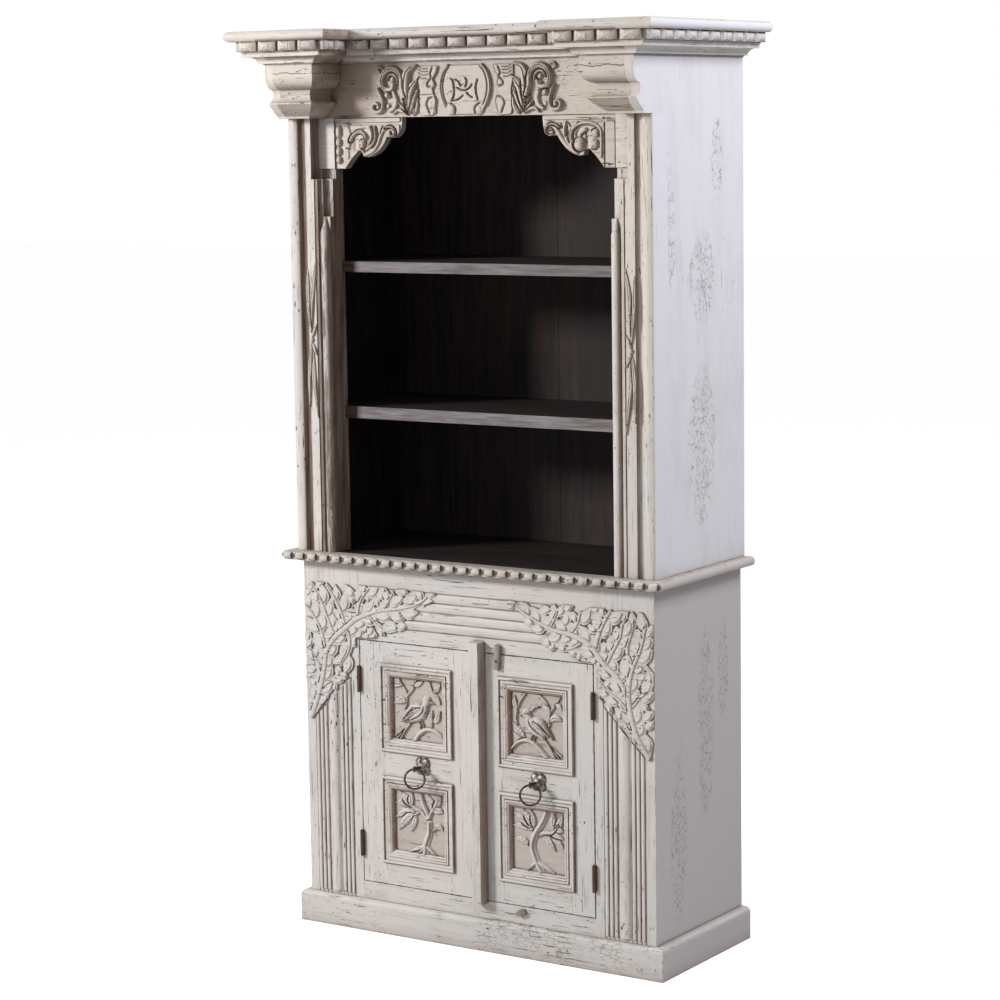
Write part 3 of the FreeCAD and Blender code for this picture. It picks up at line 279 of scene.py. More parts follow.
def frieze_half(relief, side):
    """Strap, acanthus and volute of one half; side is -1 on the left and 1 on the right."""
    relief.side = side
    panel = ((73, 2047), (78, 2030), (88, 2018), (82, 2005), (89, 1995), (86, 1980), (79, 1970), (82, 1955),
             (85, 1938), (124, 1938), (124, 1990), (128, 2012), (130, 2047))
    relief.plate(smooth(panel, 3), 4.5)
    relief.strand(((77, 2044), (82, 2030), (90, 2019), (86, 2006), (92, 1996)), 7, 6.5)
    relief.strand(((86, 1978), (82, 1968), (84, 1955), (88, 1940)), 7, 6.5)
    for line in (((89, 2044), (95, 2030), (92, 2021)), ((93, 2019), (102, 2010), (102, 2001), (93, 2000)),
                 ((89, 1977), (101, 1972), (106, 1961), (101, 1948), (97, 1938))):
        relief.cut(line, 4, 5.5)
    for line in (((99, 2042), (114, 2041), (127, 2046)), ((99, 2035), (116, 2035), (128, 2041)),
                 ((99, 2028), (116, 2027), (128, 2034)), ((104, 2019), (118, 2020), (128, 2026))):
        relief.cut(line, 3, 3.4)
    relief.strand(((160, 1940), (176, 1947), (188, 1948), (197, 1941)), 12, 8, ends=(0.8, 0.6))
    relief.strand(((158, 1943), (171, 1954), (184, 1966)), 9, 8, ends=(0.8, 0.4), over=True)
    relief.strand(((157, 1946), (169, 1966), (175, 1990)), 9, 9, ends=(0.8, 0.4), over=True)
    relief.leaf(((144, 1936), (135, 1956), (131, 1982)), 19, 8.5, veins=0)
    relief.leaf(((153, 1942), (146, 1968), (129, 1996)), 23, 10, veins=0)
    relief.leaf(((158, 1950), (152, 1990), (128, 2021)), 27, 11.5, veins=0)
    relief.leaf(((161, 1964), (165, 2002), (157, 2036), (133, 2050)), 28, 12.5, veins=0)
    ring = ((166, 1978), (173, 2000), (174, 2018), (182, 2035), (200, 2043), (219, 2036), (229, 2018),
            (224, 2001), (211, 1995), (199, 1999), (196, 2009))
    relief.strand(ring, 16, 12, ends=(0.7, 0.7), flat=3, over=True)
    relief.cut(ring[2:9], 2.2, 3.5)
    relief.strand(((187, 2008), (188, 2022), (198, 2030), (210, 2028), (215, 2017)), 7.5, 8, ends=(0.8, 0.6))
    relief.dome((201, 2018), 7.5, 7)
    relief.dome((199, 2003), 9, 9.5, over=False)
    relief.strand(((228, 2046), (238, 2047), (242, 2040), (236, 2036)), 8, 8, ends=(0.8, 1))
    relief.strand(((198, 1990), (192, 1972), (196, 1956), (208, 1948)), 17, 7.5, ends=(0.6, 0.7), flat=3)
    relief.dome((215, 1983), 9, 11)
    relief.dome((214, 1958), 7, 6)
    relief.strand(((240, 2000), (233, 1986), (227, 1970), (228, 1954), (238, 1945), (251, 1947),
                   (256, 1957), (249, 1965), (240, 1961)), 11, 11, ends=(0.4, 0.8), flat=2.6, over=True)
    relief.dome((241, 1956), 7, 9, over=False)


# Cuts of the flower in the oval, as seen from the front and measured from the middle of the case
flower_cuts = (
    ((-46, 2018), (-40, 2008), (-38, 1992), (-39, 1978), (-44, 1970)),
    ((-46, 1968), (-30, 1970), (-20, 1975), (-13, 1980)),
    ((-37, 2015), (-26, 2010), (-19, 1999)),
    ((-7, 2019), (-3, 2010), (-7, 1997)),
    ((12, 2005), (4, 1996), (-8, 1991), (-20, 1992), (-31, 1997)),
    ((-4, 1986), (2, 1979), (12, 1974)),
    ((27, 2016), (22, 2002), (22, 1985), (27, 1967)),
)


def cartouche(relief):
    """The oval plate with its double rim, two low feet and the cut flower."""
    half = ((46, 2047), (60, 2030), (67, 2004), (64, 1978), (54, 1956), (44, 1938))
    rim = half[:-1]
    relief.side = 1
    relief.plate(np.vstack([smooth(half), smooth(half)[::-1] * (-1, 1)]), 5)
    for side in (-1, 1):
        relief.side = side
        relief.strand(rim, 7, 8, flat=3)
        relief.cut([(x - 7, z) for x, z in rim], 3, 4)
        relief.dome((37, 1947), 14, 7.5, over=False)
        relief.cut(((41, 1962), (32, 1958), (26, 1950), (28, 1938)), 4, 6)
    relief.middle = (0, 0)
    for line in flower_cuts:
        relief.cut(line, 3.6, 5)
        relief.strand([(x - 3.4, z + 0.8) for x, z in line], 3.2, 6.6, ends=(0.7, 0.7))


def frieze_carving():
    """The whole carving of the frieze, as one piece."""
    relief = Relief((-275, 1936), (252, 2054), frieze_step, (frieze_middle, 0))
    for side in (-1, 1):
        frieze_half(relief, side)
    cartouche(relief)
    return relief.build("frieze_carving", frieze_face, "case")


# Leaf brackets under the frieze


def bracket_carving(name, side):
    """Carved leaf of a bracket, a row of beads on the left one and a plain panel on the right one."""
    low, high = sorted((side * 186, side * 382))
    relief = Relief((low, 1812), (high, 1934), bracket_step, side=side)
    relief.plate(((353, 1915), (197, 1915), (197, 1880), (300, 1812), (353, 1812)), 4)
    relief.strand(((200, 1927), (381, 1927)), 12, 3.2, flat=10)
    if side < 0:
        for foot, top in ((1887, 1915), (1866.5, 1886), (1846, 1865), (1827, 1844)):
            relief.strand(((371, foot + 8), (371, top - 8)), 19, 9, flat=2.4)
        bracket_leaf_left(relief)
    else:
        relief.plate(((381, 1917), (356, 1917), (356, 1815), (381, 1815)), 5)
        for z in (1921, 1907, 1888, 1870, 1852, 1836):
            relief.cut(((354.5, z + 3), (354.5, z - 3)), 4, 4)
        bracket_leaf_right(relief)
    relief.height = np.where(outline_of_leaf(relief, side), relief.height, SUNK)
    return relief.build(name, bracket_face, "case")


def bracket_leaf_left(relief):
    """Curling leaf of the left bracket, with a bud in its middle."""
    relief.strand(((345, 1911), (340, 1888), (343, 1868)), 24, 8, ends=(0.8, 0.8), flat=3)
    relief.strand(((346, 1860), (344, 1842)), 18, 7, ends=(0.9, 0.7), flat=3)
    relief.cut(((352, 1863), (336, 1861)), 3, 5)
    relief.cut(((322, 1884), (320, 1870), (322, 1858)), 17, 5)
    relief.strand(((292, 1848), (272, 1856), (257, 1872), (249, 1890), (240, 1904), (226, 1911)), 15, 9.5)
    relief.strand(((290, 1860), (272, 1872), (264, 1888), (266, 1910)), 10, 9)
    relief.strand(((286, 1868), (276, 1880), (273, 1895), (280, 1911)), 10, 9.5)
    relief.strand(((336, 1881), (326, 1894), (312, 1901), (299, 1898), (290, 1886)), 12, 9, over=True)
    relief.cut(((328, 1895), (314, 1902), (304, 1902)), 2.6, 4)
    relief.cut(((299, 1906), (288, 1899), (284, 1889), (287, 1881)), 8, 12)
    relief.strand(((303, 1868), (299, 1858), (293, 1846)), 17, 10, ends=(1.2, 0.3))
    relief.dome((302, 1872), 12.5, 12)
    relief.cut(((305, 1872), (305, 1869)), 3.4, 6)
    relief.cut(((300, 1861), (294, 1855)), 3, 5)
    for line in (((284, 1870), (273, 1880), (269, 1892), (271, 1906), (275, 1913)),
                 ((274, 1863), (263, 1874), (258, 1888), (261, 1906), (265, 1914)),
                 ((243, 1913), (247, 1904), (250, 1893))):
        relief.cut(line, 4.4, 8)
    relief.strand(((234, 1909), (222, 1911), (211, 1906), (208, 1897), (213, 1890), (221, 1892),
                   (222, 1899)), 7, 10, ends=(0.9, 0.8), over=True)


def bracket_leaf_right(relief):
    """Curling leaf of the right bracket, over two berries."""
    relief.strand(((284, 1850), (262, 1862), (245, 1880), (234, 1897), (224, 1908), (210, 1912)), 17, 9.5)
    relief.strand(((275, 1858), (258, 1878), (252, 1896), (254, 1913)), 13, 9)
    relief.strand(((272, 1866), (265, 1884), (270, 1904), (284, 1913)), 11, 9.5)
    relief.strand(((274, 1868), (268, 1884), (274, 1902), (292, 1912), (314, 1914), (334, 1909),
                   (346, 1897), (347, 1870), (346, 1840)), 9, 8, flat=3)
    relief.dome((330, 1890), 12, 7)
    relief.dome((328, 1868), 13, 8.5)
    relief.strand(((308, 1899), (298, 1893), (293, 1886)), 9, 8.5, ends=(0.8, 0.8), over=True)
    relief.cut(((283, 1886), (290, 1897), (299, 1902)), 8, 12)
    relief.cut(((309, 1897), (316, 1886)), 10, 12)
    relief.cut(((313, 1884), (314, 1868), (308, 1854)), 10, 14)
    relief.dome((290, 1867), 17, 12)
    for line in (((278, 1871), (273, 1885), (278, 1899), (291, 1907), (310, 1910), (329, 1907), (339, 1898),
                  (341, 1882)),
                 ((258, 1908), (256, 1884)), ((241, 1915), (247, 1903)), ((262, 1916), (270, 1904)),
                 ((266, 1870), (262, 1884), (264, 1898)), ((341, 1882), (330, 1880), (322, 1881)),
                 ((341, 1862), (332, 1855))):
        relief.cut(line, 3.6, 7)
    relief.strand(((238, 1905), (228, 1911), (214, 1912), (203, 1904), (204, 1893), (213, 1887),
                   (222, 1892), (220, 1901), (212, 1900)), 7, 10, ends=(0.9, 0.7), over=True)


def outline_of_leaf(relief, side):
    """Cells in front of the bracket's board, found by rays sent at its mesh from the front."""
    board = nodes["bracket_left" if side < 0 else "bracket_right"]
    hits = np.zeros(relief.x.shape, bool)
    for row in range(relief.x.shape[0]):
        for column in range(relief.x.shape[1]):
            origin = Vector((relief.x[row, column] * MM, -0.2, relief.z[row, column] * MM))
            hits[row, column] = board.ray_cast(origin, Vector((0, 1, 0)))[0]
    return hits


# Corner trees of the cabinet's front, drawn as on the right, in millimetres

tree_low, tree_high = (100, 502), (485, 839)
first_twig = 12
twig_pitch = 15
fill_pitch = 9
fill_low, fill_high = (104, 508), (484, 838)
branch_height = 4.2
leaf_height = 2.7
ground_height = 1.3
tree_outline = ((483, 836), (104, 835), (128, 806), (150, 782), (172, 764), (187, 745), (210, 732),
                (228, 720), (262, 722), (290, 712), (330, 711), (334, 690), (338, 634), (352, 620),
                (367, 604), (400, 572), (430, 546), (464, 506), (473, 506), (480, 540), (483, 600))
left_branches = (
    (((469, 509), (452, 548), (438, 590), (427, 633), (419, 673), (393, 707), (360, 733), (327, 757),
      (267, 780), (207, 790), (152, 806), (116, 830)), 10),
    (((421, 668), (433, 716), (457, 757), (477, 778)), 6),
    (((393, 707), (413, 747), (433, 793), (460, 829)), 6.5),
    (((360, 733), (379, 780), (397, 808), (416, 830)), 6.5),
    (((327, 757), (320, 793), (304, 818), (290, 831)), 6),
    (((250, 784), (232, 810), (218, 830)), 5),
    (((360, 733), (350, 704), (356, 674), (378, 642)), 6),
    (((296, 771), (274, 750), (248, 738)), 5),
    (((431, 620), (452, 650), (474, 680)), 5),
    (((446, 570), (424, 590), (402, 600)), 5),
)
right_branches = (
    (((471, 509), (454, 532), (438, 560), (424, 607), (420, 647), (423, 680), (433, 713), (453, 757),
      (470, 822)), 10),
    (((421, 636), (394, 680), (360, 707), (333, 737), (307, 758), (267, 771), (213, 780), (160, 802),
      (112, 831)), 10),
    (((333, 737), (340, 767), (354, 800), (374, 831)), 7),
    (((360, 707), (382, 747), (399, 776), (406, 806)), 6.5),
    (((433, 713), (418, 748), (428, 784), (438, 816)), 5),
    (((424, 604), (394, 633), (362, 653), (345, 672)), 6),
    (((423, 612), (448, 642), (474, 662)), 5),
    (((440, 556), (416, 580), (394, 592)), 5),
    (((267, 771), (288, 800), (298, 829)), 6),
    (((213, 780), (228, 806), (237, 829)), 5),
    (((304, 760), (276, 742), (246, 732)), 5),
    (((436, 722), (460, 716), (478, 702)), 5),
)


def corner_tree(name, side, branches):
    """Trunk, branches and pointed leaves that fill an upper corner of the cabinet's front."""
    low, high = sorted((side * tree_low[0], side * tree_high[0]))
    relief = Relief((low, tree_low[1]), (high, tree_high[1]), tree_step)
    limit = relief.inside(smooth([(side * x, z) for x, z in tree_outline], 3))
    grown = [(smooth([(side * x, z) for x, z in path]), width) for path, width in branches]
    wood = np.vstack([curve for curve, width in grown])
    taken = []
    for curve, width in grown:
        runs = np.diff(curve, axis=0)
        reach = np.concatenate([[0], np.cumsum(np.hypot(*runs.T))])
        for run in np.arange(first_twig, reach[-1], twig_pitch):
            spot = np.array([np.interp(run, reach, curve[:, k]) for k in (0, 1)])
            ahead = runs[min(int(np.searchsorted(reach, run)), len(runs)) - 1]
            heading = math.atan2(ahead[1], ahead[0])
            for turn in (-1, 1):
                angle = heading + turn * math.radians(rng.uniform(36, 58))
                tree_leaf(relief, limit, taken, spot, angle, rng.uniform(36, 46), turn)
        tree_leaf(relief, limit, taken, curve[-2], heading, 30, 1)
    for z in np.arange(fill_low[1], fill_high[1], fill_pitch):
        for x in np.arange(fill_low[0], fill_high[0], fill_pitch):
            spot = np.array((side * x, z)) + rng.uniform(-3, 3, 2)
            away = spot - wood[np.argmin(np.hypot(*(wood - spot).T))]
            angle = math.atan2(away[1], away[0]) + math.radians(rng.uniform(-30, 30))
            tree_leaf(relief, limit, taken, spot, angle, rng.uniform(24, 34), rng.choice((-1, 1)))
    for curve, width in reversed(grown):
        relief.strand(curve[::3], 1.4 * width, branch_height, ends=(1.1, 0.4), flat=3.4, over=True)
    relief.height = np.where(limit, relief.height, SUNK)
    relief.ground(limit, 4, ground_height)
    return relief.build(name, cabinet_face, "case")


def tree_leaf(relief, limit, taken, spot, angle, size, turn):
    """A leaf of the corner tree, where there is room for it inside the outline."""
    for share in (1, 0.8, 0.64):
        reach = size * share
        ahead = np.array((math.cos(angle), math.sin(angle)))
        bent = np.array((math.cos(angle - 0.5 * turn), math.sin(angle - 0.5 * turn)))
        middle = spot + 0.5 * reach * ahead
        tip = middle + 0.55 * reach * bent
        row, column = np.searchsorted(relief.zs, tip[1]), np.searchsorted(relief.xs, tip[0])
        within = row < len(relief.zs) and column < len(relief.xs) and limit[row, column]
        free = all(np.hypot(*(middle - other)) > 0.36 * (reach + length) for other, length in taken)
        if within and free:
            taken.append((middle, reach))
            relief.blade([spot, middle, tip], reach * 0.56, leaf_height, 0.72)
            return


# Door panels


def panel(door, row, design):
    """A carved panel field; the design is in millimetres from the middle of the field."""
    middle = (field_xs[door], field_zs[row])
    low = (middle[0] - field_half[0], middle[1] - field_half[1])
    high = (middle[0] + field_half[0], middle[1] + field_half[1])
    relief = Relief(low, high, panel_step, middle)
    design(relief)
    return relief.build(door + "_" + row + "_carving", panel_face, door + "_door")


def bird(relief, side, scaled):
    """A perched bird; side 1 looks to the right."""
    relief.side = side
    for tip in ((-66, -66), (-59, -71), (-50, -72)):
        relief.strand(((-8, -20), (-30, -42), tip), 7, 6, ends=(0.7, 0.7), over=True)
    relief.strand(((25, 22), (18, 8), (3, -10), (-18, -24)), 40, 9, ends=(0.5, 0.42), flat=2.6, over=True)
    relief.dome((27, 25), 14, 10, over=False)
    relief.strand(((32, 26), (49, 19)), 6, 7, ends=(1.2, 0.25))
    relief.dome((29, 28), 1.9, 11, over=False)
    relief.cut(((20, 14), (17, 0), (4, -13), (-16, -23), (-38, -31)), 3, 4)
    relief.leaf(((16, 10), (-10, 2), (-44, -29)), 30, 12.5, veins=0, over=False, blunt=0.6)
    if scaled:
        for row in range(6):
            for column in (-1, 0, 1):
                spot = (6 - row * 6.5 + column * 4, 6 - row * 4.6 - column * 6.4)
                relief.cut(arc(spot, 3.6, 30, -132), 1.6, 2.2)
    for share in (-0.5, 0, 0.5):
        relief.cut(((-6, 4 - 12 * share), (-22, -8 - 9 * share), (-40, -25 - 3 * share)), 1.8, 2.6)
    relief.strand(((2, -22), (8, -34), (6, -42)), 3.4, 5)
    relief.strand(((10, -20), (16, -32), (18, -40)), 3.4, 5)


def left_bird(relief):
    """The bird of the left door, among vines and over a low branch."""
    relief.strand(((-54, 73), (-42, 56), (-30, 36), (-32, 12), (-38, 2)), 8.1, 5.5, ends=(0.8, 0.8))
    relief.strand(((-2, 73), (-12, 52), (-28, 34)), 7.5, 5.5)
    relief.strand(((34, 73), (42, 52), (58, 38), (64, 22)), 6.9, 5)
    relief.leaf(((-43, 57), (-54, 58), (-67, 50)), 15.4, 5.5)
    relief.leaf(((-33, 18), (-48, 20), (-68, 12)), 19.2, 6)
    relief.leaf(((-9, 58), (4, 64), (16, 71)), 14.1, 5)
    relief.leaf(((46, 47), (56, 56), (66, 70)), 15.4, 5.5)
    relief.strand(((-8, -73), (4, -55), (25, -43), (48, -45), (70, -56)), 12.5, 7, ends=(1.2, 0.7),
                  over=True)
    relief.strand(((36, -42), (42, -26), (46, -10)), 5.6, 5)
    relief.leaf(((43, -24), (54, -16), (64, 4)), 17.9, 6)
    relief.leaf(((40, -28), (36, -12), (42, 4)), 15.4, 5.5)
    bird(relief, 1, False)


def right_bird(relief):
    """The bird of the right door, among vines and over a bent branch."""
    relief.strand(((-30, 73), (-46, 50), (-57, 18), (-54, -4)), 7.5, 5.5)
    relief.strand(((4, 73), (26, 55), (37, 30), (33, 2)), 8.1, 5.5)
    relief.strand(((64, 73), (52, 55), (38, 36)), 7.5, 5.5)
    relief.leaf(((-52, 34), (-60, 46), (-60, 64)), 15.4, 5.5)
    relief.leaf(((35, 12), (48, 22), (68, 18)), 17.9, 6)
    relief.leaf(((36, 30), (26, 44), (12, 50)), 14.1, 5)
    relief.leaf(((50, 54), (60, 50), (68, 40)), 14.1, 5)
    relief.leaf(((-34, -30), (-50, -18), (-66, 0)), 20.5, 6)
    relief.leaf(((-40, -36), (-54, -32), (-67, -24)), 12.8, 5)
    relief.strand(((-69, -60), (-54, -46), (-31, -38), (-4, -46), (26, -74)), 12.5, 7, ends=(0.7, 1.3),
                  over=True)
    relief.strand(((-14, 34), (-6, 42), (4, 44)), 8.8, 7, ends=(1, 0.3))
    bird(relief, -1, True)


def left_tree(relief):
    """The tree of the left door."""
    relief.leaf(((-22, 39), (-44, 45), (-68, 42)), 21.8, 6)
    relief.leaf(((-24, 40), (-38, 54), (-54, 69)), 21.8, 6)
    relief.leaf(((-22, 40), (-24, 54), (-20, 70)), 19.2, 6)
    relief.leaf(((-10, 20), (-40, 22), (-68, 8)), 21.8, 6)
    relief.leaf(((-12, 19), (-36, 8), (-60, -22)), 23, 6)
    relief.leaf(((-10, 18), (-16, 0), (-24, -22)), 17.9, 5.5)
    relief.leaf(((36, 32), (36, 50), (26, 70)), 19.2, 6)
    relief.leaf(((40, 38), (52, 52), (62, 70)), 20.5, 6)
    relief.leaf(((38, 34), (52, 36), (68, 34)), 20.5, 6)
    relief.leaf(((42, -8), (54, -2), (68, -10)), 16.6, 6)
    relief.strand(((4, 73), (10, 50), (24, 22), (28, 4)), 16.2, 7, ends=(0.9, 0.9), over=True)
    relief.strand(((27, 8), (10, 24), (-8, 34), (-28, 42)), 10, 6.5, ends=(1.2, 0.5))
    relief.strand(((0, 28), (-8, 22), (-16, 18)), 7.5, 5.5, ends=(1, 0.5))
    relief.strand(((27, 12), (32, 26), (44, 44), (56, 62)), 9.4, 6.5, ends=(1.2, 0.5))
    relief.strand(((20, -36), (34, -18), (46, -8)), 10, 6.5, ends=(1, 0.6))
    relief.strand(((14, -74), (17, -48), (27, -22), (28, 4)), 21.2, 8, ends=(1.1, 0.8), over=True,
                  grooved=True)
    relief.strand(((16, -52), (0, -60), (-30, -72)), 11.2, 6, ends=(1.1, 0.4))
    relief.strand(((18, -54), (32, -64), (46, -73)), 10, 6, ends=(1.1, 0.4))
    relief.strand(((14, -56), (2, -68), (-6, -74)), 8.8, 6, ends=(1, 0.5))


def right_tree(relief):
    """The tree of the right door."""
    relief.leaf(((-14, 26), (-40, 30), (-68, 30)), 19.2, 6)
    relief.leaf(((-14, 28), (-40, 46), (-66, 60)), 21.8, 6)
    relief.leaf(((-12, 30), (-28, 52), (-42, 70)), 20.5, 6)
    relief.leaf(((-12, 30), (-14, 52), (-20, 70)), 16.6, 6)
    relief.leaf(((44, 30), (40, 50), (44, 70)), 19.2, 6)
    relief.leaf(((46, 32), (58, 48), (66, 68)), 19.2, 6)
    relief.leaf(((44, 28), (56, 32), (69, 30)), 17.9, 6)
    relief.leaf(((26, 22), (48, 8), (69, -10)), 20.5, 6)
    relief.leaf(((22, 20), (30, 2), (46, -18)), 19.2, 6)
    relief.leaf(((30, 22), (50, 18), (69, 12)), 15.4, 5.5)
    relief.leaf(((-26, -12), (-44, -2), (-66, -2)), 17.9, 6)
    relief.strand(((-20, -16), (-28, -12), (-34, -8)), 8.8, 6, ends=(1, 0.5))
    relief.strand(((-14, 6), (12, 20), (38, 24), (56, 44)), 11.2, 6.5, ends=(1.2, 0.4), over=True)
    relief.strand(((-10, 16), (-18, 26), (-28, 32)), 7.5, 5.5, ends=(1, 0.4))
    relief.strand(((8, -74), (-8, -44), (-17, -12), (-7, 18), (12, 46), (24, 73)), 20, 8, ends=(1.1, 0.75),
                  over=True, grooved=True)
    relief.strand(((-4, -50), (-18, -60), (-30, -72)), 10, 6, ends=(1.1, 0.4))
    relief.strand(((0, -52), (20, -60), (44, -72)), 11.2, 6, ends=(1.1, 0.4))


# Jambs


def jamb_motif(name, side):
    """Two crossing lens leaves and a small rosette on the carved band of a jamb."""
    low, high = sorted((side * 420.5, side * 450))
    relief = Relief((low, 1210), (high, 1620), jamb_step, side=side)
    for width, path in ((14, ((423, 1598), (434, 1520), (439, 1424))),
                        (12, ((446, 1580), (445, 1500), (437, 1424))),
                        (14, ((437, 1408), (433, 1320), (423, 1232))),
                        (12, ((439, 1408), (446, 1340), (447, 1258))),
                        (9, ((438, 1420), (429, 1440), (423, 1452))),
                        (9, ((438, 1412), (429, 1392), (423, 1380)))):
        relief.leaf(path, width, 5, veins=0, tilt=0.2)
    relief.dome((437, 1416), 7, 6)
    return relief.build(name, jamb_face, "case")


# Materials


def tint(red, green, blue):
    """A display colour, 0 to 255, as the linear colour that nodes take."""
    def linear(value):
        share = value / 255
        return share / 12.92 if share <= 0.04045 else ((share + 0.055) / 1.055) ** 2.4

    return linear(red), linear(green), linear(blue), 1


class Value:
    """A number that nodes work out for each point of a surface, used like a plain number."""

    def __init__(self, finish, socket):
        self.finish = finish
        self.socket = socket

    def __add__(self, other):
        return self.finish.maths("ADD", self, other)

    def __sub__(self, other):
        return self.finish.maths("SUBTRACT", self, other)

    def __rsub__(self, other):
        return self.finish.maths("SUBTRACT", other, self)

    def __mul__(self, other):
        return self.finish.maths("MULTIPLY", self, other)

    def __truediv__(self, other):
        return self.finish.maths("DIVIDE", self, other)

    def __abs__(self):
        return self.finish.maths("ABSOLUTE", self)

    def __gt__(self, other):
        return self.finish.maths("GREATER_THAN", self, other)

    def __lt__(self, other):
        return self.finish.maths("LESS_THAN", self, other)

    def most(self, other):
        return self.finish.maths("MAXIMUM", self, other)

    def least(self, other):
        return self.finish.maths("MINIMUM", self, other)

    def ramp(self, low, high, to=(0, 1)):
        """A soft step between the two values of to, as this number goes from low to high."""
        made = self.finish.node("MapRange", {"interpolation_type": "SMOOTHSTEP"}, Value=self)
        for number, limit in enumerate((low, high) + to, 1):
            made.inputs[number].default_value = limit
        return Value(self.finish, made.outputs[0])


class Finish:
    """A material and short calls for its nodes."""

    def __init__(self, name):
        self.material = bpy.data.materials.new(name)
        self.material.use_nodes = True
        self.tree = self.material.node_tree
        self.tree.nodes.clear()
        self.shader = self.node("BsdfPrincipled")
        self.node("OutputMaterial", Surface=self.shader.outputs[0]).is_active_output = True
        place = self.node("TexCoord").outputs
        self.spots = place["Object"]
        self.x, self.y, self.z = self.split(self.spots)
        self.facing = self.split(place["Normal"])

    def node(self, kind, settings=(), **inputs):
        made = self.tree.nodes.new("ShaderNode" + kind)
        for key, value in dict(settings).items():
            setattr(made, key, value)
        for key, value in inputs.items():
            self.put(made.inputs[key.replace("_", " ")], value)
        return made

    def put(self, socket, value):
        """Links a node's result to a socket, or sets a plain value on it."""
        source = value.socket if isinstance(value, Value) else value
        if isinstance(source, bpy.types.NodeSocket):
            self.tree.links.new(source, socket)
        else:
            socket.default_value = source

    def maths(self, operation, *values):
        made = self.node("Math", {"operation": operation})
        for socket, value in zip(made.inputs, values):
            self.put(socket, value)
        return Value(self, made.outputs[0])

    def split(self, vector):
        """The three parts of a vector."""
        return [Value(self, part) for part in self.node("SeparateXYZ", Vector=vector).outputs]

    def mix(self, share, first, second):
        """One colour turning into another as share goes from 0 to 1."""
        made = self.node("Mix", {"data_type": "RGBA"})
        for number, value in ((0, share), (6, first), (7, second)):
            self.put(made.inputs[number], value)
        return made.outputs[2]

    def stretched(self, scale):
        """Object coordinates in metres times a scale for each axis."""
        made = self.node("VectorMath", {"operation": "MULTIPLY"})
        self.put(made.inputs[0], self.spots)
        made.inputs[1].default_value = scale
        return made.outputs[0]

    def noise(self, scale, detail=3, rough=0.55, distort=0):
        """Noise over the object in metres, finer for a larger scale; three scales stretch it."""
        vector = self.stretched(scale) if isinstance(scale, tuple) else self.spots
        made = self.node("TexNoise", Vector=vector, Scale=1 if isinstance(scale, tuple) else scale,
                         Detail=detail, Roughness=rough, Distortion=distort)
        return Value(self, made.outputs[0])

    def close_by(self, samples, distance):
        """How open a place is: 1 on a free face, towards 0 in a recess."""
        made = self.node("AmbientOcclusion", {"samples": samples}, Distance=distance)
        return Value(self, made.outputs["AO"])

    def bump(self, height, distance, strength=1.0):
        made = self.node("Bump", Height=height, Distance=distance, Strength=strength)
        self.put(self.shader.inputs["Normal"], made.outputs[0])

    def finish(self, colour, roughness, gleam=0.5):
        self.put(self.shader.inputs["Base Color"], colour)
        self.put(self.shader.inputs["Roughness"], roughness)
        self.put(self.shader.inputs["Specular IOR Level"], gleam)
        return self.material


def grain(axis, across, along):
    """Scales for the three axes, with the slow one along the grain."""
    return tuple(along if letter == axis else across for letter in "xyz")


def wood_grain(finish, axis, dark, light, across=70, along=5):
    """Streaky grain colour and its height."""
    drift = finish.noise(grain(axis, 9, 2), 2)
    streak = finish.noise(grain(axis, across, along), 5, 0.6, 0.5)
    fine = finish.noise(grain(axis, 5 * across, 3 * along), 3, 0.6)
    share = streak * 0.6 + fine * 0.4
    colour = finish.mix(share.ramp(0.36, 0.66), dark, light)
    return finish.mix(drift.ramp(0.35, 0.7, (0, 0.45)), colour, dark), share


cream = tint(209, 201, 192)
pale = tint(205, 200, 196)
cool = tint(196, 193, 191)
greyed = tint(164, 154, 145)
streaked = tint(148, 136, 126)
dull = tint(150, 134, 120)
# Side colours, painted light: the cool cast of the side lamp, with low_side darker below the waist as
# painted shade.
high_side = tint(203, 202, 208)
low_side = tint(176, 170, 171)
side_cloud = tint(178, 173, 176)
crack_brown = tint(126, 112, 104)
# Brown of the glaze and painted shade in small recesses.
glaze_and_shade = tint(104, 80, 62)
# Brown of the painted shade on faces that look away from the key light and in wide hollows; also the default
# tint of the bands.
brown = tint(124, 98, 82)
bare = tint(70, 54, 45)
espresso_dark = tint(24, 18, 18)
espresso = tint(60, 50, 50)
reddish = tint(62, 38, 34)

# Places on the object that the paint follows, in metres. Reeds are given as the first groove, the pitch
# and the number of grooves, and bands as the limits where they fade in and out.
waist_bottom, waist_top = 0.86, 0.95
cabinet_side = 0.4835
rail_reeds = ((0.742, 0.023, 5),)
stile_reeds = ((0.351, 0.012, 4), (0.4225, 0.012, 4))
rail_reed_end = 0.28
stile_reed_top = 0.79
front_face = 0.1
dentil_top, dentil_bottom = 2.108, 2.088
bobbin_end = 0.5225
bobbin_pitch = 2 * bobbin_end / 29
frame_steps = (0.0, 0.0055, 0.011, 0.0175)
rubbed_frame = ((0.128, 0.6505), (0.036, 0.0045))
frieze_shade = (-0.2, -0.34)
corbel_crack = 2.046
cove_band = ((0.444, 0.448), (0.471, 0.466))
fillet_band = ((0.407, 0.41), (0.425, 0.422))
column_inner, column_outer = -0.38, -0.4105
opening_side, opening_front = 0.386, -0.126
case_side, case_front = 0.474, -0.072
waist_floor = 0.9
shelf_end = (-0.346, -0.352)

# Crackled patches of the side boards: centre and half size in metres, along Y and Z
side_patches = (
    ((0.080, 1.565), (0.075, 0.13)),
    ((0.074, 1.190), (0.080, 0.22)),
    ((-0.064, 1.684), (0.032, 0.18)),
    ((0.149, 1.827), (0.032, 0.12)),
    ((-0.023, 0.300), (0.048, 0.24)),
    ((0.105, 0.546), (0.045, 0.29)),
    ((0.186, 0.658), (0.030, 0.16)),
)


